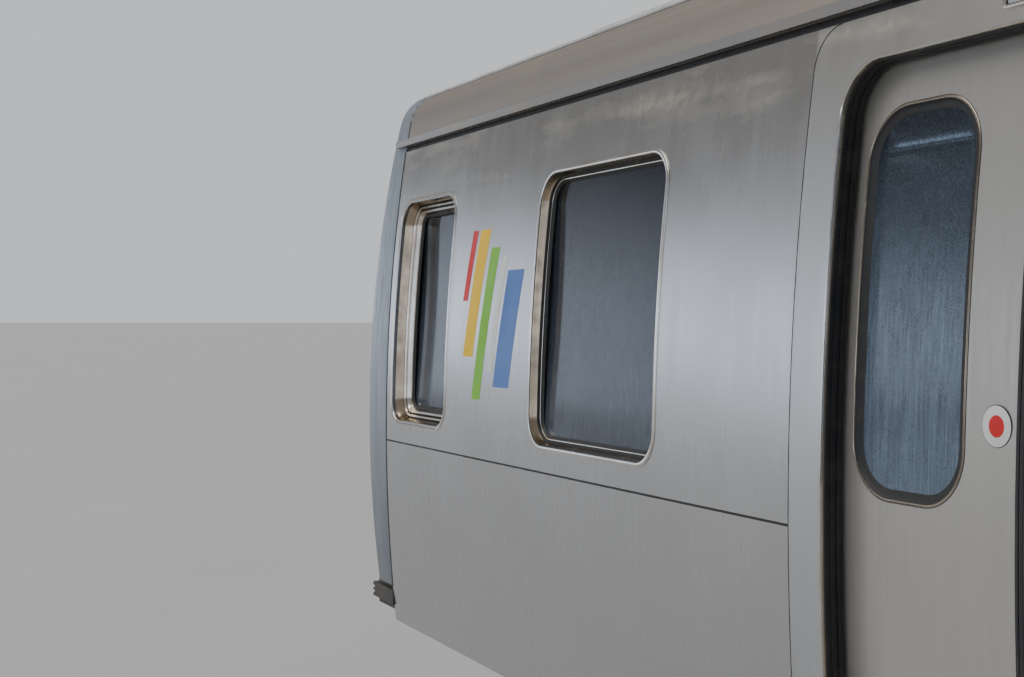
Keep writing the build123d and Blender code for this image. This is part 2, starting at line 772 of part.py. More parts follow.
def make_end_door():
    """The front end door and its pane, closed."""
    inner = FRONT_HINGE_X + END_DOOR_BACK
    outer = inner + END_DOOR_THICK
    window = rounded(
        in_yz, -END_GLASS_HALF, END_GLASS_HALF, END_GLASS_LOW_Z, END_GLASS_TOP_Z, END_GLASS_R
    )
    door = block(inner, outer, -END_DOOR_HALF, END_DOOR_HALF, LEAF_LOW_Z, END_DOOR_TOP_Z)
    door -= along_x(window, inner - 1, outer + 1)
    handle = block(inner - END_HANDLE_DEEP, inner, *END_HANDLE_Y, *END_HANDLE_Z)
    pane = along_x(window, inner + END_PANE_BACK, inner + END_PANE_BACK + LEAF_PANE_THICK)
    return door + handle, pane


def make_roof():
    """Roof shell with the gutter rail along both sides."""
    shell = along_x(roof_section(), -SEAM_X, SEAM_X)
    lean = sin(radians(CANT_LEAN)) / cos(radians(CANT_LEAN))
    low = GUTTER_RAIL_LOW
    top = low + GUTTER_RAIL_TALL
    out = GUTTER_Y + GUTTER_RAIL_PROUD
    rail = outline(
        in_yz, (GUTTER_Y - low * lean, GUTTER_Z + low), (out, GUTTER_Z + low),
        (out, GUTTER_Z + top), (GUTTER_Y - top * lean, GUTTER_Z + top),
    )
    for solid in both_sides(along_x(rail, -GUTTER_RAIL_END, GUTTER_RAIL_END)):
        shell += solid
    return shell


def hatch_side_y(up):
    """Half width of the hatch at a height over the housing."""
    return HATCH_HALF + (HATCH_TALL - up) * HATCH_LEAN


def make_hvac():
    """Two air conditioning housings on the roof, each with a hatch that has side grilles and two fans."""
    half = HVAC_HALF
    top = HVAC_TOP_Z
    edge = HVAC_EDGE
    across = outline(
        in_yz, (-half, HVAC_FOOT_Z), (half, HVAC_FOOT_Z), (half, top - edge), (half - edge, top),
        (edge - half, top), (-half, top - edge),
    )
    length = outline(
        in_xz, (HVAC_FROM_X, HVAC_FOOT_Z), (HVAC_TO_X, HVAC_FOOT_Z),
        (HVAC_TO_X, top - HVAC_END_TALL), (HVAC_TO_X - HVAC_END_LONG, top),
        (HVAC_FROM_X + HVAC_END_LONG, top), (HVAC_FROM_X, top - HVAC_END_TALL),
    )
    housing = along_x(across, HVAC_FROM_X, HVAC_TO_X) & along_y(length, -half, half)
    housing -= along_x(body_section(SILL_TOP_Z), HVAC_FROM_X - 10, HVAC_TO_X + 10)
    hatch_top = top + HATCH_TALL
    hatch = outline(
        in_yz, (-hatch_side_y(0), top), (hatch_side_y(0), top),
        (HATCH_HALF, hatch_top), (-HATCH_HALF, hatch_top),
    )
    hatch = along_x(hatch, HATCH_FROM_X, HATCH_TO_X)
    bay = (HATCH_TO_X - HATCH_FROM_X - GRILLE_POST) / GRILLE_BAYS
    for row in range(GRILLE_SLOTS):
        low = GRILLE_LOW + row * GRILLE_PITCH
        y = hatch_side_y(low)
        for number in range(GRILLE_BAYS):
            x = HATCH_FROM_X + GRILLE_POST + number * bay
            slot = block(
                x, x + bay - GRILLE_POST, y - GRILLE_DEEP, y + GRILLE_PITCH,
                top + low, top + low + GRILLE_SLOT,
            )
            for cut in both_sides(slot):
                hatch -= cut
    for x in FANS_X:
        hatch -= rod_z(x, 0, FAN_R, hatch_top - FAN_DEEP, hatch_top + 1)
        hatch += rod_z(x, 0, FAN_HUB_R, hatch_top - FAN_DEEP, hatch_top - FAN_BAR_TALL)
        low = hatch_top - 2 * FAN_BAR_TALL
        hatch += block(x - FAN_R, x + FAN_R, -FAN_BAR_HALF, FAN_BAR_HALF, low, low + FAN_BAR_TALL)
        hatch += block(x - FAN_BAR_HALF, x + FAN_BAR_HALF, -FAN_R, FAN_R, low, low + FAN_BAR_TALL)
    housing += hatch
    return [housing, rear_of(housing)]


def make_underframe():
    """Deck plate, side sills, centre sill and cross bearers."""
    low = SKIRT_Z
    top = SILL_TOP_Z
    frame = block(-SEAM_X, SEAM_X, -SILL_Y, SILL_Y, top - DECK_THICK, top)
    for solid in both_sides(block(-SEAM_X, SEAM_X, SILL_Y - SILL_THICK, SILL_Y, low, top)):
        frame += solid
    frame += block(-SEAM_X, SEAM_X, -CENTRE_SILL_Y, CENTRE_SILL_Y, low, top)
    for x in CROSS_BEARERS_X:
        for side in (-1, 1):
            frame += block(side * x - BEARER_HALF, side * x + BEARER_HALF, -SILL_Y, SILL_Y, low, top)
    return frame


def make_body_bolsters(frame):
    """Bolsters of the body, notched round the centre sill, each with the pin that its truck turns on."""
    reach = SILL_Y - SILL_THICK
    low = BODY_BOLSTER_Z + BOLSTER_LIFT
    plate = block(
        TRUCK_X - BODY_BOLSTER_HALF, TRUCK_X + BODY_BOLSTER_HALF, -reach, reach, low, SILL_TOP_Z - DECK_THICK
    )
    bolster = (plate - frame) + rod_z(TRUCK_X, 0, PIVOT_R, BODY_BOLSTER_Z - PIVOT_LONG, low)
    return [bolster, rear_of(bolster)]


def make_end_sill(front):
    """Sill across one end with the ribbed strip that stops one car climbing the next."""
    wide = side_y(MASK_BOTTOM_Z)
    end = SEAM_X + MASK_DEPTH
    narrow = wide - END_SILL_NARROW
    core = block(SEAM_X, end, -narrow, narrow, END_SILL_LOW_Z, MASK_BOTTOM_Z)
    strip = block(SEAM_X, end, -wide, wide, STRIP_LOW_Z, STRIP_TOP_Z)
    grooves = [block(SEAM_X, end, -wide - 1, wide + 1, z, z + STRIP_GROOVE) for z in STRIP_GROOVES_Z]
    if front:
        core &= behind_plan(END_SILL_INSET + END_SILL_BACK, SKIRT_Z, GUTTER_Z)
        face = behind_plan(END_SILL_INSET, SKIRT_Z, GUTTER_Z)
        back = behind_plan(END_SILL_INSET + STRIP_THICK, SKIRT_Z, GUTTER_Z)
        floor_space = behind_plan(END_CAVITY_BACK, SILL_TOP_Z, MASK_BOTTOM_Z + 1)
    else:
        core &= block(SEAM_X, END_FLAT_X - END_SILL_BACK, -wide, wide, SKIRT_Z, GUTTER_Z)
        face = block(SEAM_X, END_FLAT_X, -wide, wide, SKIRT_Z, GUTTER_Z)
        back = block(SEAM_X, END_FLAT_X - STRIP_THICK, -wide, wide, SKIRT_Z, GUTTER_Z)
        floor_space = block(SEAM_X, END_FLAT_X - END_WALL_THICK, -wide, wide, SILL_TOP_Z, MASK_BOTTOM_Z + 1)
    floor_space &= block(SEAM_X, end, -FLOOR_Y, FLOOR_Y, SILL_TOP_Z, MASK_BOTTOM_Z + 1)
    strip &= face
    for groove in grooves:
        strip -= groove - back
    sill = (core + strip) - floor_space
    return sill if front else rear_of(sill)


def make_coupler_anchors():
    """Fork and pin that carry the coupler under each end."""
    x = COUPLER_PIVOT_X
    half = ANCHOR_HALF_Y
    rear = x - ANCHOR_REAR
    low = COUPLER_Z - EYE_HALF_TALL - EYE_GAP
    anchor = block(rear, x + ANCHOR_FRONT, -half, half, COUPLER_Z + EYE_HALF_TALL + EYE_GAP, SKIRT_Z)
    anchor += block(rear, x + ANCHOR_FRONT, -half, half, low - ANCHOR_PLATE, low)
    anchor += block(rear, rear + ANCHOR_WEB, -half, half, low - ANCHOR_PLATE, SKIRT_Z)
    anchor += rod_z(x, 0, COUPLER_PIN_R, low - ANCHOR_PLATE, SKIRT_Z)
    return [anchor, rear_of(anchor)]


def make_coupler():
    """Front coupler: eye, shank and a head with a guide stud and a cup that mate with another head."""
    x = COUPLER_PIVOT_X
    z = COUPLER_Z
    face = COUPLING_X
    low = z - HEAD_HALF
    eye = rod_z(x, 0, COUPLER_EYE_R, z - EYE_HALF_TALL, z + EYE_HALF_TALL)
    shank = rod_x(0, z, SHANK_R, x + COUPLER_EYE_R / 2, face - HEAD_LONG)
    head = block(face - HEAD_LONG, face, -HEAD_HALF, HEAD_HALF, low, z + HEAD_TOP)
    head = chamfer(head.edges().filter_by(Axis.Z).group_by(Axis.X)[0], HEAD_CORNER)
    box = block(face - BOX_LONG, face - BOX_BACK, -BOX_HALF, BOX_HALF, low - BOX_TALL, low)
    stud = rod_x(GUIDE_Y, z, GUIDE_R, face, face + GUIDE_LONG)
    cup = rod_x(-GUIDE_Y, z, CUP_R, face - CUP_DEEP, face)
    coupler = eye + shank + head + box + stud - cup
    return coupler - rod_z(x, 0, COUPLER_PIN_R + RUN_CLEARANCE, low, z + HEAD_TOP)


def make_drive():
    """Motor and gear case on the front axle of a truck at X = 0."""
    axle_x = WHEELBASE / 2
    drive = rod_y(MOTOR_X, MOTOR_Z, MOTOR_R, -MOTOR_HALF, MOTOR_HALF)
    drive += block(TRANSOM_HALF - 40, MOTOR_X - MOTOR_R / 2, -BRACKET_HALF, BRACKET_HALF, *TRANSOM_Z)
    case = rounded(
        in_xz, MOTOR_X - GEAR_BACK, axle_x + GEAR_FRONT, AXLE_Z - GEAR_LOW, AXLE_Z + GEAR_FRONT, GEAR_CORNER
    )
    drive += along_y(case, MOTOR_HALF, MOTOR_HALF + GEAR_WIDE)
    return drive - rod_y(axle_x, AXLE_Z, AXLE_R + GEAR_GAP, MOTOR_HALF - 60, MOTOR_HALF + GEAR_WIDE + 60)


def make_truck():
    """Truck at X = 0: side frames, transom, bolster, air springs, motors and collector shoes."""
    rear_line = tuple((-x, z) for x, z in reversed(FRAME_LINE))
    frame = outline(in_xz, *rear_line, *FRAME_LINE)
    side = along_y(frame, BEARING_Y - FRAME_HALF_Y, BEARING_Y + FRAME_HALF_Y)
    side += rod_z(0, BEARING_Y, AIR_SPRING_R, SPRING_SEAT_Z, BOLSTER_LOW_Z)
    for half, near, far, low, high in SHOE_BLOCKS:
        side += block(-half, half, near, far, low, high)
    for end in (-1, 1):
        side += block(
            end * BRAKE_NEAR_X, end * BRAKE_FAR_X, BRAKE_IN_Y, BEARING_Y, BRAKE_LOW_Z, TRANSOM_Z[1]
        )
    truck = side + right_of(side)
    truck += block(-TRANSOM_HALF, TRANSOM_HALF, -BEARING_Y, BEARING_Y, *TRANSOM_Z)
    truck += block(-POST_HALF, POST_HALF, -POST_HALF, POST_HALF, TRANSOM_Z[1] - 30, BOLSTER_LOW_Z)
    bolster = outline(
        in_yz, (-BOLSTER_HALF_Y, BOLSTER_LOW_Z), (BOLSTER_HALF_Y, BOLSTER_LOW_Z),
        (BOLSTER_HALF_Y, BOLSTER_TIP_Z), (BOLSTER_TOP_Y, BOLSTER_TOP_Z),
        (-BOLSTER_TOP_Y, BOLSTER_TOP_Z), (-BOLSTER_HALF_Y, BOLSTER_TIP_Z),
    )
    truck += along_x(bolster, -BOLSTER_HALF_X, BOLSTER_HALF_X)
    truck += rod_z(0, 0, CENTRE_PLATE_R, BOLSTER_TOP_Z, BODY_BOLSTER_Z)
    truck -= rod_z(0, 0, PIVOT_R + RUN_CLEARANCE, BODY_BOLSTER_Z - PIVOT_LONG - 5, BODY_BOLSTER_Z + 1)
    drive = make_drive()
    truck += drive
    truck += Rot(0, 0, 180) * drive
    for x in (-WHEELBASE / 2, WHEELBASE / 2):
        for y in (-1, 1):
            truck -= rod_y(x, AXLE_Z, JOURNAL_R + RUN_CLEARANCE, y * 900, y * (AXLE_HALF + 5))
    return truck


def make_wheelset():
    """One axle with its two wheels, at X = 0."""
    rim_back = GAUGE / 2 - FLANGE_THICK
    rim_front = rim_back + RIM_WIDE
    # Distance from the middle of the axle, radius
    half = (
        (rim_back, AXLE_R), (rim_back, FLANGE_R), (rim_back + FLANGE_THICK, WHEEL_R), (rim_front, WHEEL_R),
        (rim_front, RIM_R), (rim_front - DISH_DEEP, HUB_R + DISH_FOOT), (rim_front + HUB_PROUD, HUB_R),
        (rim_front + HUB_PROUD, JOURNAL_R), (AXLE_HALF, JOURNAL_R), (AXLE_HALF, 0),
    )
    other = tuple((-y, r) for y, r in reversed(half))
    face = outline(lambda y, r: (r, y, 0), *other, *half)
    return Pos(0, 0, AXLE_Z) * revolve(face, axis=Axis.Y, revolution_arc=360)


def make_seats():
    """Twin seats on both sides of the aisle, and the driver's seat."""
    shell_face = outline(in_xz, *((x, FLOOR_Z + z) for x, z in SEAT_LINE))
    leg_top = FLOOR_Z + SEAT_LEG_TALL
    bench = along_y(shell_face, SEAT_IN_Y, SEAT_OUT_Y)
    bench += block(-SEAT_LEG_HALF, SEAT_LEG_HALF, SEAT_LEG_IN_Y, SEAT_LEG_OUT_Y, FLOOR_Z, leg_top)
    seats = [Pos(x, 0, 0) * bench for x in SEAT_ROWS_X]
    driver = along_y(shell_face, -DRIVER_SEAT_HALF, DRIVER_SEAT_HALF)
    driver += block(-SEAT_LEG_HALF, SEAT_LEG_HALF, -SEAT_LEG_HALF, SEAT_LEG_HALF, FLOOR_Z, leg_top)
    return both_sides(*seats) + [Pos(DRIVER_X, -DRIVER_Y, 0) * driver]


def make_inside():
    """Draft screens, hand poles, cab bulkhead and driver's desk."""
    screens = []
    poles = []
    for x in DOOR_X:
        for side in (-1, 1):
            screen_x = x + side * SCREEN_PANEL_X
            screens.append(block(
                screen_x - SCREEN_PANEL_HALF, screen_x + SCREEN_PANEL_HALF,
                SCREEN_PANEL_IN_Y, SCREEN_PANEL_OUT_Y, FLOOR_Z, FLOOR_Z + SCREEN_PANEL_TALL,
            ))
            poles.append(rod_z(screen_x, POLE_Y, POLE_R, FLOOR_Z, GUTTER_Z))
    back_x = BULKHEAD_X + BULKHEAD_THICK
    bulkhead = along_x(cabin_section(FLOOR_Z, GUTTER_Z), BULKHEAD_X, back_x)
    bulkhead -= block(BULKHEAD_X - 1, back_x + 1, -CAB_DOOR_HALF, CAB_DOOR_HALF, FLOOR_Z - 1, CAB_DOOR_TOP_Z)
    desk_side = outline(in_xz, *((DESK_X + x, FLOOR_Z + z) for x, z in DESK_LINE))
    desk = along_y(desk_side, DESK_RIGHT_Y, DESK_LEFT_Y)
    return both_sides(*screens), both_sides(*poles), bulkhead, desk


def make_equipment():
    """Equipment cases and air tanks under the floor."""
    solids = [
        chamfer(block(x0, x1, y0, y1, z, SKIRT_Z).edges().filter_by(Axis.X).group_by(Axis.Z)[0], CASE_CORNER)
        for x0, x1, y0, y1, z in CASES
    ]
    for y in TANKS_Y:
        tank = rod_x(y, SKIRT_Z - TANK_R - TANK_DROP, TANK_R, TANK_REAR_X, TANK_FRONT_X)
        for x in TANK_STRAPS_X:
            tank += block(
                x - STRAP_HALF_X, x + STRAP_HALF_X, y - STRAP_HALF_Y, y + STRAP_HALF_Y,
                SKIRT_Z - STRAP_TALL, SKIRT_Z,
            )
        solids.append(tank)
    return solids


def make_all():
    bays, side_panes = make_bays()
    portals, thresholds, indicators = make_portals()
    mask, screens, lamps, studs = make_front()
    rear_wall, rear_panes = make_rear()
    draft_screens, poles, bulkhead, desk = make_inside()
    floor_rear = block(END_WALL_THICK - END_FLAT_X, SEAM_X, -FLOOR_Y, FLOOR_Y, SILL_TOP_Z, FLOOR_Z)
    floor_front = block(SEAM_X, SEAM_X + MASK_DEPTH, -FLOOR_Y, FLOOR_Y, SILL_TOP_Z, FLOOR_Z)
    floor = floor_rear + (floor_front & behind_plan(END_CAVITY_BACK, SILL_TOP_Z, FLOOR_Z))
    ceiling = block(
        END_WALL_THICK - END_FLAT_X, CEILING_END_X, -WALL_TOP_Y, WALL_TOP_Y, GUTTER_Z, CEILING_TOP_Z
    )
    frame = make_underframe()
    node("underframe", frame)
    node("body_bolsters", *make_body_bolsters(frame))
    node("end_sills", make_end_sill(True), make_end_sill(False))
    node("coupler_anchors", *make_coupler_anchors())
    node("floor", floor)
    node("side_bays", *bays)
    node("door_portals", *portals)
    node("thresholds", *thresholds)
    node("roof", make_roof())
    node("ceiling", ceiling)
    node("front_mask", mask)
    node("rear_wall", rear_wall)
    node("side_glass", *side_panes)
    node("end_glass", *screens, *rear_panes)
    node("lamps", *lamps, *indicators)
    node("barrier_studs", *studs)
    node("hvac_units", *make_hvac())
    node("underfloor_cases", *make_equipment())
    node("seats", *make_seats())
    node("draft_screens", *draft_screens)
    node("hand_poles", *poles)
    node("cab_bulkhead", bulkhead)
    node("driver_desk", desk)
    make_leaves()
    door, door_pane = make_end_door()
    shift = Pos(REAR_HINGE_X - FRONT_HINGE_X, 0, 0)
    node("front_end_door", door)
    node("front_end_door_glass", door_pane)
    node("rear_end_door", rear_of(shift * door))
    node("rear_end_door_glass", rear_of(shift * door_pane))
    coupler = make_coupler()
    node("front_coupler", coupler)
    node("rear_coupler", Rot(0, 0, 180) * coupler)
    truck = make_truck()
    wheelset = make_wheelset()
    for end, x in (("front", TRUCK_X), ("rear", -TRUCK_X)):
        node(f"{end}_truck", Pos(x, 0, 0) * truck)
        for row, offset in (("leading", WHEELBASE / 2), ("trailing", -WHEELBASE / 2)):
            node(f"{end}_truck_{row}_wheelset", Pos(x + offset, 0, 0) * wheelset)


make_all()
os.makedirs("parts", exist_ok=True)
for name, solids in NODES.items():
    shapes = [part for solid in solids for part in solid.solids()]
    export_step(shapes[0] if len(shapes) == 1 else Compound(children=shapes), f"parts/{name}.step")
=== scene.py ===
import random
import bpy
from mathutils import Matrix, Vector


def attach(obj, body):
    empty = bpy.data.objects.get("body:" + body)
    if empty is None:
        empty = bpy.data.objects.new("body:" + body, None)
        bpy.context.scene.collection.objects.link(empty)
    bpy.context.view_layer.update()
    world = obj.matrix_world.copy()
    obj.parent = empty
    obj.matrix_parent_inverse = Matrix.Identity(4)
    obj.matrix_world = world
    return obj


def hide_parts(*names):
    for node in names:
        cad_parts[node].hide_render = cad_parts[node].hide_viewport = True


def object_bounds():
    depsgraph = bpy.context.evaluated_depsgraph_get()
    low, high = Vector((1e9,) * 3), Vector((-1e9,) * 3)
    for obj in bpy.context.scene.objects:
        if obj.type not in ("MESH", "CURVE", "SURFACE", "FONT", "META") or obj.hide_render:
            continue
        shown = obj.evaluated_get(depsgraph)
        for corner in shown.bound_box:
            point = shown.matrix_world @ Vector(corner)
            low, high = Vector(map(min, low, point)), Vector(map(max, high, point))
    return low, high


bl_info = {
    "name": "Metro car",
    "version": (1, 0, 0),
    "blender": (4, 5, 0),
    "location": "View3D > Sidebar > Metro car",
    "description": "Dresses the solids of a stainless metro car with finishes, trim and fittings",
    "category": "Object",
}

from itertools import product
from math import cos, radians, sin, sqrt

import bmesh
import bpy
from bpy.props import FloatProperty, FloatVectorProperty, PointerProperty
from bpy.types import Operator, Panel, PropertyGroup
from mathutils import Vector

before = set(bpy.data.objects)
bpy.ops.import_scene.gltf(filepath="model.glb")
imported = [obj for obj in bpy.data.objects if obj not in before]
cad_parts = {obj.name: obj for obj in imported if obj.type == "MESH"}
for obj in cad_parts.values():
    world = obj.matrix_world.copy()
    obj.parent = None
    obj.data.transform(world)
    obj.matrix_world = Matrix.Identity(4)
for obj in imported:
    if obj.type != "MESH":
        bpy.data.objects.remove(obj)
LOW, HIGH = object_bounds()

# Sizes of the body, in metres, as in the solids
HALF_WIDTH = 1.525
WIDEST_Z = 1.88
SIDE_R = 9.1
NOSE_X = 11.263
NOSE_Z = 2.055
NOSE_R = 6.5
REAR_X = -11.027
SEAM_X = 10.777
FLOOR_Z = 1.128
BELT_Z = 1.83
GUTTER_Z = 3.27
GUTTER_Y = 1.418
GROOVE_TALL = 0.025
SKIRT_Z = 0.94
CREST_Z = 3.7132
ROOF_ARCH_R = 4.836
CANT_Y = 1.19988
CANT_Z = 3.35527
CANT_R = 0.2
DOOR_X = (6.42, 0.0, -6.42)
DOORWAY_HALF = 0.7
DOORWAY_TOP = 3.12
DOORWAY_R = 0.15
PORTAL_HALF = 0.855
PORTAL_R = 0.115
LEAF_DEPTH = 0.076
LEAF_TOP = 3.134
# Near edge and far edge from the middle of the doorway, low, top, corner
LEAF_WINDOW = (0.204, 0.648, 1.939, 2.989, 0.15)
PLATE_FROM_MIDDLE = 0.082
PLATE_Z = 2.158
INDICATOR_HALF = 0.07
INDICATOR_LOW = 3.165
INDICATOR_TOP = 3.227
WINDOW_LOW = 1.916
WINDOW_TOP = 3.001
WINDOW_R = 0.13
HVAC_X = 7.97
HVAC_TOP = 3.815
HATCH_TOP = 3.905
FANS_X = (7.18, 7.88)
LINING_LOW_Y = 1.354
LINING_LEAN = -0.0327
CASE_FACE = 1.33
TRUCK_X = 7.9
AXLE_FROM_TRUCK = 1.1
WHEEL_Z = 0.383
COUPLER_FACE = 11.43
COUPLER_Z = 0.745
# Columns: centre X, half width, whether the pane sits deep
SIDE_WINDOWS = (
    (8.575, 0.515, False), (10.3495, 0.3665, True), (2.315, 0.675, False), (4.145, 0.675, False),
    (-2.315, 0.675, False), (-4.145, 0.675, False), (-8.575, 0.515, False), (-9.985, 0.515, False),
)
# Columns: way out along the car, X of the face
END_DOORS = {"front": (1, 11.12), "rear": (-1, -10.989)}
ENDS = (("front", 1), ("rear", -1))
SIDES = (1, -1)
AHEAD = (1, 0, 0)
UP = (0, 0, 1)
DOWN = (0, 0, -1)
# Depth of the hidden edges of a strip
SUNK = 0.001
FLOOR_HALF = 3000.0


# Places on the skin. Each takes two measures along a surface and a depth inside it.


def on_side(side):
    def place(x, z, depth):
        y = HALF_WIDTH - SIDE_R + sqrt((SIDE_R - depth) ** 2 - (z - WIDEST_Z) ** 2)
        return Vector((x, side * y, z))

    return place


def on_nose(side):
    def place(y, z, depth):
        x = NOSE_X - NOSE_R + sqrt((NOSE_R - depth) ** 2 - y * y - (z - NOSE_Z) ** 2)
        return Vector((x, side * y, z))

    return place


def on_rear(side):
    return lambda y, z, depth: Vector((REAR_X + depth, side * y, z))


def on_end_door(end):
    out, face = END_DOORS[end]
    return lambda y, z, depth: Vector((face - out * depth, y, z))


def on_roof(x, y, depth):
    """The arched top of the roof."""
    return Vector((x, y, CREST_Z - ROOF_ARCH_R + sqrt(ROOF_ARCH_R ** 2 - y * y) - depth))


def on_cant(side):
    """The rounded shoulder of the roof: place along the car, angle over level in degrees, depth."""
    def place(x, angle, depth):
        turn, reach = radians(angle), CANT_R - depth
        return Vector((x, side * (CANT_Y + reach * cos(turn)), CANT_Z + reach * sin(turn)))

    return place


def on_lining(side):
    """The inner face of a side wall. Depth goes into the wall."""
    return lambda x, z, depth: Vector((x, side * (LINING_LOW_Y + (z - FLOOR_Z) * LINING_LEAN + depth), z))


def mirrored(end, side):
    """A plain place at one end and side of the car."""
    return lambda x, y, z: Vector((end * x, side * y, z))


def roof_line():
    """Points over the roof from the left gutter to the right one, each with the way out of the skin."""
    half = [(GUTTER_Y - 0.007, GUTTER_Z + 0.04, cos(radians(10)), sin(radians(10)))]
    for angle in range(10, 76, 13):
        y, z = cos(radians(angle)), sin(radians(angle))
        half.append((CANT_Y + CANT_R * y, CANT_Z + CANT_R * z, y, z))
    for k in range(8):
        y = 1.2 - k * 0.15
        z = sqrt(ROOF_ARCH_R ** 2 - y * y)
        half.append((y, CREST_Z - ROOF_ARCH_R + z, y / ROOF_ARCH_R, z / ROOF_ARCH_R))
    return [*half, (0.0, CREST_Z, 0.0, 1.0), *((-y, z, -out, up) for y, z, out, up in reversed(half))]


# Mesh code


def spread(first, last, count):
    return [first + (last - first) * k / count for k in range(count + 1)]


def spokes(count, start=0):
    """Cosine and sine of the angles that part a circle evenly."""
    turns = [radians(start + 360 * k / count) for k in range(count)]
    return [(cos(turn), sin(turn)) for turn in turns]


def rounded(a0, a1, b0, b1, radius, corner=8, along=8):
    """The outline of a rectangle with round corners, as points for any inset."""
    def path_at(inset):
        r = max(radius - inset, 0.001)
        left, right, low, top = a0 + inset + r, a1 - inset - r, b0 + inset + r, b1 - inset - r
        middles = ((right, low, -90), (right, top, 0), (left, top, 90), (left, low, 180))
        points = []
        for n, (a, b, start) in enumerate(middles):
            for k in range(corner + 1):
                turn = radians(start + 90 * k / corner)
                points.append((a + r * cos(turn), b + r * sin(turn)))
            if n in (0, 2):
                here_a, here_b = points[-1]
                points += [(here_a, z) for z in spread(here_b, middles[n + 1][1], along)[1:-1]]
        return points

    return path_at


def doorway(x, corner=8, along=12):
    """The outline of a doorway, up one side, over it and down the other, as points for any inset."""
    def path_at(inset):
        half, top, r = DOORWAY_HALF - inset, DOORWAY_TOP - inset, DOORWAY_R - inset
        points = [(half, z) for z in spread(FLOOR_Z, top - r, along)[:-1]]
        for turn in spread(0, radians(90), corner):
            points.append((half - r + r * cos(turn), top - r + r * sin(turn)))
        return [(x + a, b) for a, b in points] + [(x - a, b) for a, b in reversed(points)]

    return path_at


def skin_between(bm, loops, kinds=0, closed=False):
    """Quads between rows of points. Rows are closed to a loop, and so is each row if asked."""
    kinds = [kinds] * len(loops) if isinstance(kinds, int) else kinds
    rows = [[bm.verts.new(p) for p in row] for row in loops]
    count = len(rows[0])
    for n, row in enumerate(rows):
        after = rows[(n + 1) % len(rows)]
        for k in range(count if closed else count - 1):
            face = bm.faces.new((row[k], row[(k + 1) % count], after[(k + 1) % count], after[k]))
            face.material_index = kinds[n]
    if not closed:
        for k in (0, count - 1):
            bm.faces.new([row[k] for row in rows]).material_index = kinds[0]


def framed(bm, surface, path_at, profile, closed=True):
    """A moulding round an outline. The profile holds inset, depth in millimetres and finish number."""
    loops = []
    for inset, depth, kind in profile:
        loops.append([surface(a, b, depth / 1000) for a, b in path_at(inset / 1000)])
    skin_between(bm, loops, [row[2] for row in profile], closed)


def strip(bm, place, run, section, kind=0):
    """A strip along a run of places. The section holds the other two measures of each edge."""
    skin_between(bm, [[place(a, b, c) for a in run] for b, c in section], kind)


def flat(half, proud, sunk=SUNK):
    """The section of a flat strip: half its width, how far it stands out and how deep it goes."""
    return (-half, sunk), (-half, -proud), (half, -proud), (half, sunk)


def run_at(points, n):
    """The way in which a row of points runs at one of them."""
    return (Vector(points[min(n + 1, len(points) - 1)]) - Vector(points[max(n - 1, 0)])).normalized()


def ribbon(bm, surface, path, wide, proud):
    """A flat strip that follows a path on a surface."""
    loops = []
    for across, depth in flat(wide / 2, proud):
        runs = [run_at(path, n) * across for n in range(len(path))]
        loops.append([surface(a + run.y, b - run.x, depth) for (a, b), run in zip(path, runs)])
    skin_between(bm, loops)


def box(bm, x0, x1, y0, y1, z0, z1, kind=0, bevel=0.0):
    """A box with its edges rounded by a bevel."""
    made = bmesh.ops.create_cube(bm, size=1.0)["verts"]
    for v in made:
        v.co.x = v.co.x * abs(x1 - x0) + (x0 + x1) / 2
        v.co.y = v.co.y * abs(y1 - y0) + (y0 + y1) / 2
        v.co.z = v.co.z * abs(z1 - z0) + (z0 + z1) / 2
    for face in {f for v in made for f in v.link_faces}:
        face.material_index = kind
    if bevel > 0:
        edges = list({e for v in made for e in v.link_edges})
        bmesh.ops.bevel(bm, geom=edges, offset=bevel, segments=2, affect="EDGES", profile=0.5)


def blocks(bm, table, x, side, way=1):
    """The boxes of a table, set off along the car from a place and mirrored to a side."""
    for x0, x1, y0, y1, z0, z1, kind, bevel in table:
        box(bm, x + way * x0, x + way * x1, side * y0, side * y1, z0, z1, kind, bevel)


def turned(bm, centre, axis, profile, steps=32, capped=True):
    """A turned body. The profile holds distance along the axis, radius and, unless it is 0, finish number."""
    centre, axis = Vector(centre), Vector(axis).normalized()
    side = axis.orthogonal().normalized()
    up = axis.cross(side)
    kinds = [(*row, 0)[2] for row in profile]
    rows = []
    for along, r in (row[:2] for row in profile):
        middle = centre + axis * along
        around = spokes(steps) if r > 1e-6 else [(0, 0)]
        rows.append([bm.verts.new(middle + side * r * c + up * r * s) for c, s in around])
    for kind, here, after in zip(kinds, rows, rows[1:]):
        for k in range(steps):
            j = (k + 1) % steps
            corners = (here[k % len(here)], here[j % len(here)], after[j % len(after)], after[k % len(after)])
            bm.faces.new(list(dict.fromkeys(corners))).material_index = kind
    for row, kind in ((rows[0], kinds[0]), (rows[-1], kinds[-1])):
        if capped and len(row) > 1:
            bm.faces.new(row).material_index = kind


def tube(bm, points, r, kind=0, steps=12):
    """A round bar along points, with closed ends."""
    rings = []
    for n, p in enumerate(points):
        run = run_at(points, n)
        side = run.cross(Vector(UP))
        if side.length < 1e-3:
            side = run.cross(Vector((0, 1, 0)))
        side.normalize()
        up = run.cross(side).normalized()
        rings.append([Vector(p) + side * r * c + up * r * s for c, s in spokes(steps)])
    skin_between(bm, list(zip(*rings)), kind)


def bend(points, r, steps=5):
    """The points of a bar with its corners rounded."""
    points = [Vector(p) for p in points]
    out = [points[0]]
    for last, here, next_one in zip(points, points[1:], points[2:]):
        before, after = (last - here).normalized(), (next_one - here).normalized()
        out += [here + before * r * (1 - t) ** 2 + after * r * t ** 2 for t in spread(0, 1, steps)]
    return out + [points[-1]]


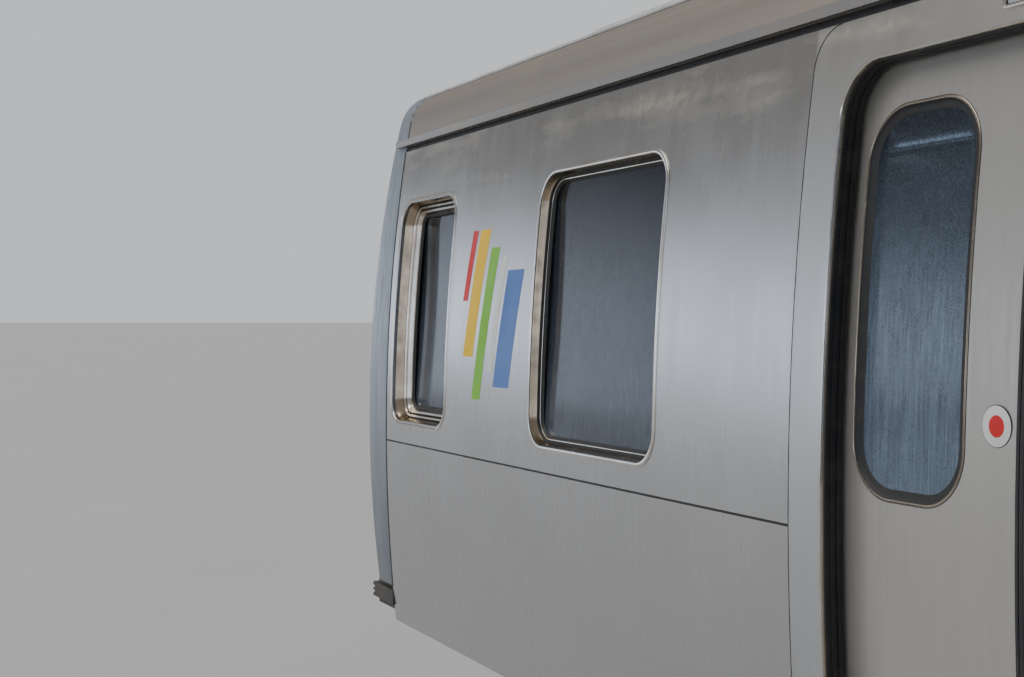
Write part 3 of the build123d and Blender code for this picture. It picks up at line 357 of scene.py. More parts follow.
def piece(name, finishes, slot, make, *about, body="car_body"):
    """Keep the mesh that a function makes as a piece of a body. The finishes are names in one string."""
    bm = bmesh.new()
    make(bm, *about)
    bmesh.ops.remove_doubles(bm, verts=bm.verts, dist=1e-6)
    bmesh.ops.recalc_face_normals(bm, faces=bm.faces)
    mesh = bpy.data.meshes.new(name)
    bm.to_mesh(mesh)
    bm.free()
    made = bpy.data.objects.new(name, mesh)
    bpy.context.scene.collection.objects.link(made)
    for finish in finishes.split():
        mesh.materials.append(FINISHES[finish]())
    mesh.shade_smooth()
    mesh.set_sharp_from_angle(angle=radians(35))
    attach(made, body)
    return made


# Finishes


class Nodes:
    """A material's node tree, with short calls for what the finishes share."""

    def __init__(self, name):
        self.material = bpy.data.materials.new(name)
        self.material.use_nodes = True
        self.tree = self.material.node_tree
        self.shader = self.tree.nodes["Principled BSDF"]
        self.where = self.tree.nodes.new("ShaderNodeTexCoord").outputs["Object"]
        self.colours = bpy.context.scene.metro_colours
        self.bumps = None

    def feed(self, socket, value):
        """Link an output to a socket, or set the socket's own value."""
        if hasattr(value, "is_output"):
            self.tree.links.new(value, socket)
        else:
            socket.default_value = (*value[:3], 1.0) if socket.type == "RGBA" else value

    def put(self, kind, inputs, **settings):
        """Add a node with its settings and inputs, and give its outputs."""
        made = self.tree.nodes.new(kind)
        for name, value in settings.items():
            setattr(made, name, value)
        for name, value in inputs.items():
            self.feed(made.inputs[name], value)
        return made.outputs

    def stretched(self, x, y, z):
        """The place, scaled apart along the three axes."""
        return self.put("ShaderNodeMapping", {"Vector": self.where, "Scale": (x, y, z)})["Vector"]

    def noise(self, scale, detail=3.0, place=None, rough=0.5, bend=0.0):
        inputs = {"Scale": scale, "Detail": detail, "Roughness": rough, "Distortion": bend}
        return self.put("ShaderNodeTexNoise", {"Vector": place or self.where, **inputs})["Fac"]

    def cells(self, scale, place=None):
        return self.put("ShaderNodeTexVoronoi", {"Vector": place or self.where, "Scale": scale})["Distance"]

    def ramp(self, value, low, high, first=0.0, last=1.0):
        """A value spread from one range to another, and held there."""
        inputs = {"From Min": low, "From Max": high, "To Min": first, "To Max": last}
        return self.put("ShaderNodeMapRange", {"Value": value, **inputs})["Result"]

    def math(self, how, a, b=0.0):
        return self.put("ShaderNodeMath", {0: a, 1: b}, operation=how)["Value"]

    def times(self, a, b):
        return self.math("MULTIPLY", a, b)

    def mix(self, share, first, second):
        return self.put("ShaderNodeMix", {0: share, 6: first, 7: second}, data_type="RGBA")[2]

    def laid(self, under, mark, low, high, colour, share=1.0):
        """A colour laid over another, from none to its share as a mark goes from low to high."""
        return self.mix(self.ramp(mark, low, high, 0.0, share), under, colour)

    def xyz(self):
        return self.put("ShaderNodeSeparateXYZ", {"Vector": self.where})

    def bump(self, height, strength, distance):
        below = {"Normal": self.bumps} if self.bumps else {}
        inputs = {"Strength": strength, "Distance": distance, "Height": height}
        self.bumps = self.put("ShaderNodeBump", {**inputs, **below})["Normal"]

    def done(self, colour, roughness, metallic=0.0, **plain):
        """Feed the shader. What is the same all over is set on its own sockets."""
        sockets = {"Base_Color": colour, "Roughness": roughness, "Metallic": metallic, **plain}
        if self.bumps:
            sockets["Normal"] = self.bumps
        for name, value in sockets.items():
            self.feed(self.shader.inputs[name.replace("_", " ")], value)

    def worn(self, mark, low, high, fresh, old, glossy, dull, metallic=0.0, **plain):
        """Two colours spread by a mark, which also spreads the gloss."""
        tint = self.laid(fresh, mark, low, high, old)
        self.done(tint, self.ramp(mark, 0.3, 0.7, glossy, dull), metallic, **plain)


FINISHES = {}


def finish(make):
    """Register a finish under the name of its function, and make it once."""
    def once():
        name = f"{make.__name__}_finish"
        if name not in bpy.data.materials:
            make(Nodes(name))
        return bpy.data.materials[name]

    FINISHES[make.__name__] = once
    return once


def shade(colour, *by):
    """A colour times one factor, or times one for each of red, green and blue."""
    return tuple(c * factor for c, factor in zip(colour, by * 3))


def skin(n, colour, rough, ripple, streaks=0.13, lined=False):
    """Polished stainless: fine grain, wash marks, dust under the gutter, soft ripples of the panel, and
    painted reflection and shade: bluer low down, darker towards the top.
    """
    wash = n.noise(1.0, 4.0, n.stretched(17.0, 17.0, 0.9), 0.6)
    x, y, z = n.xyz()
    # Painted reflection and painted shade: bluer low down, darker and browner towards the top.
    tint = n.laid(shade(colour, 1.02, 1.04, 1.1), z, 1.6, 2.5, shade(colour, 1.04))
    tint = n.laid(tint, z, 2.5, 3.2, shade(colour, 0.93, 0.9, 0.85))
    tint = n.laid(tint, wash, 0.35, 0.72, shade(colour, 0.78), streaks)
    tint = n.laid(tint, n.noise(0.9, 5.0, rough=0.6), 0.45, 0.75, shade(colour, 1.2), 0.3)
    smear = n.noise(1.0, 3.0, n.stretched(1.7, 1.7, 8.0))
    dust = n.times(n.ramp(smear, 0.5, 0.72), n.ramp(z, 2.93, 3.14))
    dust = n.times(dust, n.ramp(n.noise(38.0), 0.35, 0.6, 0.35))
    tint = n.mix(n.times(dust, 0.55), tint, (0.54, 0.46, 0.31))
    tint = n.laid(tint, n.noise(140.0, 2.0), 0.71, 0.8, shade(colour, 0.5), 0.25)
    patch = n.ramp(n.noise(2.4, 2.0), 0.4, 0.8, 0.0, 0.05)
    haze = n.math("ADD", n.ramp(wash, 0.3, 0.8, rough - 0.02, rough + 0.04), patch)
    haze = n.math("ADD", haze, n.times(dust, 0.2))
    n.bump(n.noise(1.15, 1.0), ripple, 0.03)
    n.bump(n.noise(1.0, 1.0, n.stretched(4.0, 4.0, 1.6)), ripple * 0.6, 0.008)
    n.bump(n.noise(1.0, 2.0, n.stretched(2.5, 2.5, 420.0)), 0.04, 0.0004)
    metal = 1.0
    if lined:
        spread_y = n.math("ADD", n.math("ABSOLUTE", y), n.times(z, -LINING_LEAN))
        inside = n.ramp(spread_y, 1.432, 1.43)
        tint = n.mix(inside, tint, (0.62, 0.6, 0.54))
        haze = n.math("ADD", haze, n.times(inside, 0.14))
        metal = n.math("SUBTRACT", 1.0, inside)
    n.done(tint, haze, metal)


@finish
def bay_steel(n):
    skin(n, n.colours.steel, 0.25, 0.3, lined=True)


@finish
def portal_steel(n):
    skin(n, shade(n.colours.steel, 1.06), 0.33, 0.14, 0.2, lined=True)


@finish
def rear_steel(n):
    skin(n, shade(n.colours.steel, 0.95), 0.34, 0.2, 0.6)


@finish
def roof_steel(n):
    """The roof: dull steel with brown dust in streaks along the car and in pale patches, a painted highlight
    as a lighter band low on each shoulder, and a little darker below that band.
    """
    colour = n.colours.roof
    x, y, z = n.xyz()
    streak = n.noise(1.0, 4.0, n.stretched(0.45, 16.0, 16.0), 0.6)
    tint = n.laid(shade(colour, 1.15), streak, 0.35, 0.7, shade(colour, 0.9, 0.78, 0.68))
    # Painted highlight: a lighter band low on the shoulder, up to 3.42 m; below 3.31 m a little darker.
    tint = n.laid(tint, z, 3.42, 3.33, shade(colour, 1.45, 1.42, 1.34), 0.5)
    tint = n.laid(tint, z, 3.32, 3.31, shade(colour, 0.92))
    tint = n.laid(tint, n.noise(1.3, 5.0, rough=0.65), 0.5, 0.75, shade(colour, 1.5, 1.3, 0.85), 0.5)
    n.bump(streak, 0.15, 0.002)
    n.bump(n.noise(130.0), 0.08, 0.0006)
    n.done(tint, n.ramp(streak, 0.3, 0.7, 0.36, 0.5), 0.75)


@finish
def bright_trim(n):
    """Silver frames, a little yellowed, with fine specks."""
    tint = n.laid((0.66, 0.65, 0.62), n.noise(5.0), 0.35, 0.7, (0.56, 0.5, 0.42))
    tint = n.laid(tint, n.noise(210.0, 2.0), 0.68, 0.78, (0.2, 0.18, 0.16), 0.3)
    n.done(tint, n.ramp(n.noise(25.0), 0.3, 0.8, 0.14, 0.26), 1.0)


@finish
def bronze_trim(n):
    """The deep reveals of the frames: a brown metal whose tone is painted shade and reflection."""
    # Painted shade and reflection: brown, darker brown in patches.
    tint = n.laid((0.50, 0.40, 0.29), n.noise(7.0, 4.0), 0.3, 0.7, (0.30, 0.24, 0.18))
    n.bump(n.noise(120.0), 0.15, 0.0005)
    n.done(tint, n.ramp(n.noise(18.0), 0.3, 0.8, 0.14, 0.32), 1.0)


@finish
def black_rubber(n):
    dust = n.noise(16.0, 5.0, rough=0.65)
    tint = n.laid((0.012, 0.012, 0.013), dust, 0.45, 0.75, (0.06, 0.057, 0.052), 0.5)
    n.bump(n.noise(350.0), 0.25, 0.0006)
    n.done(tint, n.ramp(dust, 0.3, 0.7, 0.42, 0.72))


@finish
def leaf_paint(n):
    """The beige grey of the door leaves: satin, with rain marks and worn streaks."""
    colour = n.colours.leaf
    rain = n.noise(1.0, 4.0, n.stretched(34.0, 34.0, 1.6), 0.6)
    tint = n.laid(colour, rain, 0.35, 0.75, shade(colour, 0.8), 0.45)
    tint = n.laid(tint, n.noise(1.6, 5.0, rough=0.6), 0.4, 0.75, shade(colour, 1.14), 0.35)
    tint = n.laid(tint, n.noise(170.0, 2.0), 0.76, 0.8, shade(colour, 0.4), 0.6)
    n.bump(n.noise(1.6, 1.0), 0.12, 0.02)
    n.bump(rain, 0.05, 0.002)
    n.done(tint, n.ramp(rain, 0.3, 0.75, 0.28, 0.4), 0.42)


@finish
def mask_paint(n):
    """Blue grey paint of the front, with dirt run down by rain."""
    colour = n.colours.mask
    run = n.noise(1.0, 5.0, n.stretched(75.0, 75.0, 1.3), 0.65)
    broad = n.noise(1.0, 4.0, n.stretched(9.0, 9.0, 0.9), 0.6)
    x, y, z = n.xyz()
    tint = n.laid(colour, run, 0.4, 0.72, shade(colour, 0.5), 0.65)
    tint = n.laid(tint, broad, 0.42, 0.75, shade(colour, 1.35), 0.4)
    # Darker towards the bottom.
    tint = n.laid(tint, z, 1.95, 1.25, shade(colour, 0.5), 0.75)
    tint = n.laid(tint, n.noise(55.0, bend=0.8), 0.74, 0.77, (0.62, 0.62, 0.6), 0.8)
    n.bump(n.noise(260.0, 2.0), 0.06, 0.0005)
    n.done(tint, n.ramp(run, 0.3, 0.75, 0.26, 0.5), 0.25)


def wet_glass(n, clean, filmed, low_z):
    """Glass with a grey film of dried rain, thicker low down, with fine runs and dark drops."""
    drops = n.cells(170.0, n.stretched(1.0, 1.0, 0.75))
    bead = n.times(n.ramp(drops, 0.3, 0.2), n.ramp(n.noise(46.0, 2.0), 0.48, 0.54))
    run = n.noise(1.0, 4.0, n.stretched(130.0, 130.0, 3.0), 0.65)
    mist = n.noise(1.7, 4.0, rough=0.55)
    x, y, z = n.xyz()
    film_there = n.times(n.ramp(run, 0.32, 0.7, 0.55), n.ramp(mist, 0.3, 0.7, 0.6))
    film_there = n.times(film_there, n.ramp(z, 2.95, low_z, 0.05))
    tint = n.mix(film_there, clean, filmed)
    tint = n.laid(tint, n.noise(260.0, 2.0), 0.52, 0.72, shade(filmed, 1.3), 0.45)
    tint = n.mix(n.times(bead, 0.9), tint, shade(clean, 0.6))
    n.bump(bead, 0.3, 0.0006)
    haze = n.math("ADD", n.times(film_there, 0.14), 0.03)
    clear = n.ramp(film_there, 0.0, 1.0, 0.8, 0.45)
    n.done(tint, haze, IOR=1.3, Specular_IOR_Level=0.5, Transmission_Weight=clear)


@finish
def tinted_glass(n):
    wet_glass(n, (0.017, 0.023, 0.034), (0.22, 0.265, 0.33), 1.95)


@finish
def leaf_glass(n):
    wet_glass(n, (0.05, 0.065, 0.09), (0.34, 0.44, 0.57), 2.35)


@finish
def clear_glass(n):
    smear = n.noise(12.0, 4.0)
    tint = n.laid((0.75, 0.8, 0.82), smear, 0.4, 0.8, (0.6, 0.66, 0.68))
    n.done(tint, n.ramp(smear, 0.4, 0.8, 0.03, 0.12), Transmission_Weight=0.92, IOR=1.48)


@finish
def screen_border(n):
    """The black band printed round a windscreen."""
    speck = n.noise(90.0)
    tint = n.laid((0.006, 0.007, 0.008), speck, 0.5, 0.8, (0.03, 0.032, 0.035))
    n.done(tint, n.ramp(speck, 0.3, 0.8, 0.1, 0.24))


@finish
def under_paint(n):
    dust = n.noise(3.2, 6.0, rough=0.65)
    n.bump(n.noise(95.0, 4.0), 0.3, 0.0012)
    n.worn(dust, 0.35, 0.72, (0.022, 0.021, 0.02), (0.11, 0.097, 0.082), 0.5, 0.82)


@finish
def case_paint(n):
    dust = n.noise(2.6, 6.0, rough=0.65)
    tint = n.laid((0.10, 0.105, 0.11), dust, 0.35, 0.75, (0.2, 0.185, 0.16))
    tint = n.laid(tint, n.noise(38.0, 4.0), 0.7, 0.74, (0.12, 0.07, 0.045))
    n.bump(n.noise(70.0, 4.0), 0.2, 0.001)
    n.done(tint, n.ramp(dust, 0.3, 0.7, 0.42, 0.75))


@finish
def unit_paint(n):
    """Grey paint of the cooling units on the roof, dull and dusty."""
    dust = n.noise(2.4, 5.0, rough=0.6)
    n.bump(n.noise(110.0), 0.12, 0.0008)
    fresh, dusty = (0.15, 0.152, 0.158), (0.24, 0.22, 0.19)
    n.worn(dust, 0.35, 0.75, fresh, dusty, 0.5, 0.7, Specular_IOR_Level=0.3)


@finish
def cast_iron(n):
    """Cast truck frames under brake dust and rust."""
    rust = n.noise(6.5, 7.0, rough=0.7)
    tint = n.laid((0.045, 0.042, 0.04), rust, 0.35, 0.7, (0.115, 0.082, 0.06))
    tint = n.laid(tint, n.noise(60.0, 4.0), 0.6, 0.75, (0.19, 0.13, 0.09), 0.6)
    n.bump(n.noise(45.0, 6.0), 0.5, 0.003)
    n.done(tint, n.ramp(rust, 0.3, 0.7, 0.6, 0.88), 0.25)


@finish
def coupler_iron(n):
    """Machined and cast coupler parts: dark grey with a little rust."""
    rust = n.noise(8.0, 6.0, rough=0.7)
    n.bump(n.noise(60.0, 5.0), 0.3, 0.0015)
    n.worn(rust, 0.5, 0.8, (0.075, 0.077, 0.08), (0.15, 0.09, 0.055), 0.38, 0.7, 0.5)


@finish
def roof_bead(n):
    """The pale bead along the roof shoulder, its pale colour a painted highlight along the curve of the
    shoulder.
    """
    n.worn(n.noise(4.0, 5.0, rough=0.6), 0.45, 0.8, (0.82, 0.82, 0.82), (0.5, 0.46, 0.4), 0.3, 0.5)


@finish
def wheel_steel(n):
    """Rolled wheels: bright where they roll, brown elsewhere."""
    x, y, z = n.xyz()
    dull = n.laid((0.075, 0.058, 0.047), n.noise(9.0, 6.0, rough=0.65), 0.35, 0.7, (0.19, 0.115, 0.07))
    from_truck = n.math("ABSOLUTE", n.math("SUBTRACT", n.math("ABSOLUTE", x), TRUCK_X))
    aft = n.math("POWER", n.math("SUBTRACT", from_truck, AXLE_FROM_TRUCK), 2.0)
    rise = n.math("POWER", n.math("SUBTRACT", z, WHEEL_Z), 2.0)
    radius = n.math("SQRT", n.math("ADD", aft, rise))
    roll = n.times(n.ramp(radius, 0.343, 0.352), n.ramp(n.math("ABSOLUTE", y), 0.84, 0.8))
    tint = n.mix(roll, dull, (0.62, 0.6, 0.57))
    n.bump(n.noise(80.0, 4.0), 0.25, 0.001)
    haze = n.mix(roll, (0.62, 0.62, 0.62), (0.2, 0.2, 0.2))
    n.done(tint, haze, n.times(n.math("ADD", roll, 0.45), 0.69))


@finish
def sill_metal(n):
    dirt = n.noise(11.0, 5.0)
    tint = n.laid((0.55, 0.55, 0.53), dirt, 0.4, 0.75, (0.22, 0.2, 0.18), 0.35)
    n.bump(n.noise(1.0, 3.0, n.stretched(4.0, 160.0, 160.0)), 0.2, 0.0008)
    n.done(tint, n.ramp(dirt, 0.3, 0.7, 0.3, 0.55), 0.95)


@finish
def floor_cover(n):
    """Speckled sheet flooring."""
    tint = n.laid((0.13, 0.11, 0.10), n.noise(260.0, 2.0), 0.45, 0.6, (0.24, 0.21, 0.19))
    tint = n.laid(tint, n.cells(190.0), 0.18, 0.1, (0.45, 0.42, 0.38), 0.5)
    tint = n.laid(tint, n.noise(1.4, 4.0), 0.45, 0.75, (0.09, 0.08, 0.075), 0.5)
    n.bump(n.noise(240.0, 2.0), 0.15, 0.0008)
    n.done(tint, n.ramp(n.noise(3.0, 4.0), 0.3, 0.7, 0.35, 0.6))


@finish
def wall_lining(n):
    n.bump(n.noise(320.0), 0.12, 0.0006)
    n.worn(n.noise(5.0, 5.0, rough=0.6), 0.45, 0.8, (0.66, 0.64, 0.58), (0.52, 0.49, 0.43), 0.3, 0.48)


@finish
def seat_shell(n):
    """Moulded seat shells with a leathery grain."""
    colour = n.colours.seat
    n.bump(n.cells(330.0), 0.3, 0.0008)
    n.worn(n.noise(4.0, 5.0, rough=0.6), 0.4, 0.75, colour, shade(colour, 1.3), 0.32, 0.5)


@finish
def chrome(n):
    n.worn(n.noise(30.0, 4.0), 0.4, 0.8, (0.78, 0.78, 0.78), (0.66, 0.66, 0.65), 0.1, 0.24, 1.0)


@finish
def lamp_chrome(n):
    n.worn(n.noise(45.0), 0.4, 0.8, (0.72, 0.73, 0.75), (0.5, 0.5, 0.52), 0.12, 0.3, 1.0)


@finish
def lamp_bezel(n):
    n.worn(n.noise(45.0), 0.4, 0.8, (0.03, 0.035, 0.06), (0.07, 0.075, 0.1), 0.3, 0.5, 0.2)


@finish
def red_lens(n):
    tint = n.laid((0.42, 0.006, 0.02), n.noise(30.0), 0.4, 0.7, (0.25, 0.004, 0.012))
    n.bump(n.noise(1.0, 1.0, n.stretched(1.0, 150.0, 150.0)), 0.2, 0.0008)
    n.done(tint, 0.12, Transmission_Weight=0.25, Coat_Weight=0.6, IOR=1.5)


@finish
def dark_lens(n):
    tint = n.laid((0.035, 0.012, 0.008), n.noise(50.0), 0.4, 0.7, (0.06, 0.03, 0.02))
    n.done(tint, 0.16, Coat_Weight=0.5)


@finish
def worn_brass(n):
    stain = n.noise(40.0, 5.0)
    n.bump(stain, 0.15, 0.0006)
    n.worn(stain, 0.4, 0.7, (0.72, 0.50, 0.20), (0.36, 0.23, 0.10), 0.2, 0.42, 1.0)


@finish
def desk_plastic(n):
    tint = n.laid((0.045, 0.046, 0.05), n.noise(7.0, 4.0), 0.4, 0.7, (0.075, 0.075, 0.08))
    n.bump(n.noise(420.0, 2.0), 0.2, 0.0006)
    n.done(tint, n.ramp(n.noise(9.0), 0.3, 0.7, 0.4, 0.6))


@finish
def light_panel(n):
    tint = n.laid((0.9, 0.92, 0.95), n.noise(2.0), 0.4, 0.7, (0.82, 0.84, 0.86))
    n.done(tint, 0.4, Emission_Color=(0.85, 0.92, 1.0), Emission_Strength=2.0)


def film(n, colour):
    """Coloured film on the steel, faded and finely cracked."""
    fade = n.noise(5.0, 5.0, rough=0.6)
    crack = n.noise(1.0, 4.0, n.stretched(70.0, 70.0, 12.0), 0.7, 1.2)
    tint = n.laid(colour, fade, 0.4, 0.75, shade(colour, 0.85), 0.4)
    tint = n.laid(tint, crack, 0.68, 0.74, (0.45, 0.44, 0.42), 0.4)
    n.bump(crack, 0.15, 0.0005)
    n.done(tint, n.ramp(fade, 0.3, 0.7, 0.4, 0.55), Specular_IOR_Level=0.25)


@finish
def red_film(n):
    film(n, n.colours.stripe_red)


@finish
def yellow_film(n):
    film(n, n.colours.stripe_yellow)


@finish
def green_film(n):
    film(n, n.colours.stripe_green)


@finish
def blue_film(n):
    film(n, n.colours.stripe_blue)


@finish
def white_film(n):
    film(n, (0.72, 0.72, 0.70))


@finish
def studio_floor(n):
    n.done(n.laid((0.60, 0.60, 0.59), n.noise(0.35), 0.3, 0.7, (0.63, 0.63, 0.62)), 0.7)


# Colours and sizes that a user would change


def tint_of(name, description, default):
    return FloatVectorProperty(
        name=name, description=description, subtype="COLOR", size=3, min=0, max=1, default=default)


class MetroColours(PropertyGroup):
    steel: tint_of("Steel", "Tint of the stainless skin", (0.47, 0.465, 0.45))
    roof: tint_of("Roof", "Tint of the dusty roof", (0.30, 0.28, 0.26))
    leaf: tint_of("Door leaves", "Paint of the sliding door leaves", (0.40, 0.385, 0.355))
    mask: tint_of("Front", "Paint of the front mask", (0.26, 0.30, 0.34))
    seat: tint_of("Seats", "Colour of the seat shells", (0.05, 0.11, 0.2))
    stripe_red: tint_of("Red stripe", "Red film", (0.62, 0.03, 0.03))
    stripe_yellow: tint_of("Yellow stripe", "Yellow film", (0.86, 0.54, 0.01))
    stripe_green: tint_of("Green stripe", "Green film", (0.19, 0.5, 0.04))
    stripe_blue: tint_of("Blue stripe", "Blue film", (0.08, 0.17, 0.46))


class MetroSizes(PropertyGroup):
    stripe_wide: FloatProperty(
        name="Stripe width", description="Width of one leaning stripe", default=0.1, min=0.02, max=0.3,
        unit="LENGTH")
    plate_across: FloatProperty(
        name="Plate across", description="Width of the round plate on each door leaf", default=0.105,
        min=0.05, max=0.15, unit="LENGTH")
    seam_wide: FloatProperty(
        name="Seam width", description="Width of the dark line round a doorway panel", default=0.004,
        min=0.001, max=0.01, unit="LENGTH")


class MetroStudio(PropertyGroup):
    lens: FloatProperty(
        name="Lens", description="Focal length of the camera in millimetres", default=54.5, min=20, max=200)
    eye: FloatVectorProperty(
        name="Eye", description="Place of the camera", subtype="XYZ", unit="LENGTH", size=3,
        default=(3.55, 4.012, 2.411))
    turn: FloatProperty(
        name="Turn", description="Angle between the line of sight and the car", subtype="ANGLE",
        default=radians(23.62))
    dip: FloatProperty(
        name="Dip", description="Angle of the line of sight below level", subtype="ANGLE",
        default=radians(0.63))
    sky: FloatProperty(
        name="Sky", description="Strength of the soft light all round", default=2.2, min=0, max=5)


# Finishes of the solids, by name or by the end of the name
NODE_FINISHES = {
    "side_bays": "bay_steel", "door_portals": "portal_steel", "roof": "roof_steel", "rear_wall": "rear_steel",
    "hvac_units": "unit_paint", "front_mask": "mask_paint", "underframe": "under_paint",
    "body_bolsters": "under_paint", "end_sills": "under_paint", "coupler_anchors": "under_paint",
    "floor": "floor_cover", "thresholds": "sill_metal", "ceiling": "wall_lining",
    "cab_bulkhead": "wall_lining", "draft_screens": "wall_lining", "seats": "seat_shell",
    "hand_poles": "chrome", "driver_desk": "desk_plastic", "underfloor_cases": "case_paint",
    "lamps": "lamp_chrome", "barrier_studs": "worn_brass",
}
ENDING_FINISHES = {
    "_glass": "tinted_glass", "_leaf": "leaf_paint", "_end_door": "mask_paint", "_wheelset": "wheel_steel",
    "_truck": "cast_iron", "_coupler": "coupler_iron",
}
EASED_EDGE = 0.016
EASED_OVER = radians(28)


def finish_of(node):
    """The finish that a solid of the frame gets."""
    if node in NODE_FINISHES:
        return NODE_FINISHES[node]
    if node.startswith("door_") and node.endswith("_glass"):
        return "leaf_glass"
    for ending, name in ENDING_FINISHES.items():
        if node.endswith(ending):
            return name
    raise ValueError(f"no finish for {node}")


class METRO_OT_finish_solids(Operator):
    """Give every solid of the frame its finish"""
    bl_idname = "metro.finish_solids"
    bl_label = "Finish the solids"

    def execute(self, context):
        for name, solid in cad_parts.items():
            solid.data.materials.clear()
            solid.data.materials.append(FINISHES[finish_of(name)]())
        for name in ("front_mask", "rear_wall"):
            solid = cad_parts[name]
            joined = solid.modifiers.new("joined", "WELD")
            joined.merge_threshold = 0.0005
            eased = solid.modifiers.new("eased_edges", "BEVEL")
            eased.limit_method = "ANGLE"
            eased.angle_limit = EASED_OVER
            eased.width = EASED_EDGE
            eased.segments = 3
            eased.use_clamp_overlap = True
        return {"FINISHED"}


# Profiles of the mouldings. Columns: inset and depth in millimetres, finish number
# Finishes of the frames and seals: 0 bright trim, 1 black rubber, 2 brown trim that is painted shade and
# reflection
TRIM = "bright_trim black_rubber bronze_trim"
BRIGHT_AND_BLACK = "bright_trim black_rubber"
SHALLOW_FRAME = (
    (0, 1, 0), (1, -3, 0), (5, -5, 0), (11, -4.5, 0), (17, -3.5, 1), (21, -1, 2), (23, 6, 2), (26, 20, 2),
    (28, 25, 2), (29, 27, 1), (33, 26, 1), (36, 28, 1), (37, 33, 1), (39, 35, 0), (41, 35, 0), (43, 36, 1),
    (46, 39, 1), (50, 43, 1), (54, 45.8, 1), (30, 45.9, 1), (18, 45, 1), (18, 20, 1), (12, 2, 0),
)
DEEP_FRAME = (
    (0, 1, 0), (1, -3, 0), (5, -4, 0), (10, -2, 0), (13, 3, 2), (18, 10, 2), (26, 36, 2), (33, 52, 2),
    (34, 57, 1), (38, 58, 1), (39, 52, 0), (46, 52, 0), (49, 58, 2), (52, 68, 1), (56, 69, 1), (57, 62, 0),
    (66, 62, 0), (70, 67, 0), (72, 78, 2), (75, 82, 1), (84, 84, 1), (90, 88, 1), (92, 91.8, 1),
    (60, 91.9, 1), (18, 91, 1), (18, 20, 1), (10, 2, 0),
)
LEAF_FRAME = (
    (-9, 77, 1), (-8.5, 75, 1), (-7, 74.4, 2), (-6, 73.8, 2), (-4, 74.6, 1), (-3.5, 76.4, 1),
    (-1.5, 76.4, 1), (-1, 75.2, 2), (0.5, 75, 1), (1.5, 76, 1), (3, 78, 1), (8, 81, 1), (14, 83, 1),
    (24, 85, 1), (26, 86.1, 1), (4, 86.2, 1), (2, 80, 1),
)
SCREEN_RIM = (
    (-6, 1, 0), (-5, -3, 0), (-2, -4.5, 0), (3, -4, 0), (6, 0, 0), (8, 8, 1), (10, 13, 1), (30, 14, 1),
    (52, 14.5, 1), (55, 15.2, 0), (60, 15, 0), (62, 15.8, 1), (58, 17, 1), (30, 20, 1), (4, 20, 1),
)
REAR_RIM = (
    (-8, 1, 0), (-7, -3, 0), (-3, -4, 0), (1, -3, 0), (3, 2, 1), (6, 10, 1), (16, 14, 1), (26, 15.8, 1),
    (20, 17, 1), (2, 17, 1), (1, 4, 1),
)
END_DOOR_RIM = (
    (-14, 1, 0), (-13, -4, 0), (-7, -5.5, 0), (-2, -4, 1), (0, 0, 1), (3, 8, 1), (10, 12, 1), (14, 13.8, 1),
    (4, 13.9, 1), (-1, 12, 1), (-3, 2, 1),
)
DOOR_SEAL = (
    (-5, 3, 0), (-4, -3.5, 0), (0, -5, 0), (3, -2, 0), (4, 4, 2), (5, 8, 1), (9, 10, 1), (10, 20, 1),
    (7, 22, 1), (7, 26, 1), (11, 28, 1), (12, 40, 1), (8, 42, 1), (8, 46, 1), (13, 48, 1), (14, 60, 1),
    (10, 64, 1), (-3, 65, 1), (-3, 30, 1),
)
INDICATOR_FRAME = ((0, 1, 0), (1, -4, 0), (6, -6.5, 0), (10, -6, 0), (11, -4.5, 1), (13, -3, 1), (12, 3, 1))
GASKET = ((0, 1, 0), (0, -6, 0), (6, -8, 0), (7.5, -4, 0), (7.5, 30, 0), (0, 30, 0))
LINING_FRAME = (
    (-40, 1, 0), (-38, -8, 0), (-20, -12, 0), (8, -10, 0), (19, 0, 0), (21.5, 30, 0), (17, 30, 0), (14, 4, 0),
)


def side_window_frames(bm):
    for (x, half, deep), side in product(SIDE_WINDOWS, SIDES):
        outline = rounded(x - half, x + half, WINDOW_LOW, WINDOW_TOP, WINDOW_R, 10, 10)
        framed(bm, on_side(side), outline, DEEP_FRAME if deep else SHALLOW_FRAME)


class METRO_OT_side_window_frames(Operator):
    """Frames and rubbers of the side windows, the one of the cab deep and stepped"""
    bl_idname = "metro.side_window_frames"
    bl_label = "Side window frames"

    def execute(self, context):
        piece("side_window_frames", TRIM, "rail_chrome", side_window_frames)
        return {"FINISHED"}


def doorway_seals(bm):
    for x, side in product(DOOR_X, SIDES):
        framed(bm, on_side(side), doorway(x), DOOR_SEAL, False)


class METRO_OT_doorway_seals(Operator):
    """Bright lips and ribbed black seals round the six doorways"""
    bl_idname = "metro.doorway_seals"
    bl_label = "Doorway lips and seals"

    def execute(self, context):
        piece("doorway_seals", TRIM, "rail_chrome", doorway_seals)
        return {"FINISHED"}


END_JOINT_LIFT = 0.17
INDICATOR_LAP = 0.007


def portal_joints(bm, side, wide):
    """Dark lines up both edges of each doorway panel and round its top corners."""
    corner_z, r = GUTTER_Z - GROOVE_TALL - PORTAL_R, PORTAL_R
    for x, way in product(DOOR_X, SIDES):
        path = [(x + way * PORTAL_HALF, z) for z in spread(SKIRT_Z, corner_z, 14)[:-1]]
        for turn in spread(0, radians(90), 9):
            path.append((x + way * (PORTAL_HALF - r + r * cos(turn)), corner_z + r * sin(turn)))
        ribbon(bm, on_side(side), path, wide, 0.0004)


def end_joints(bm, side, wide):
    """Wide dark lines where a side meets the two ends."""
    for x in (SEAM_X + wide, -SEAM_X - wide):
        path = [(x, z) for z in spread(SKIRT_Z + END_JOINT_LIFT, GUTTER_Z - GROOVE_TALL, 14)]
        ribbon(bm, on_side(side), path, wide * 3.5, 0.001)


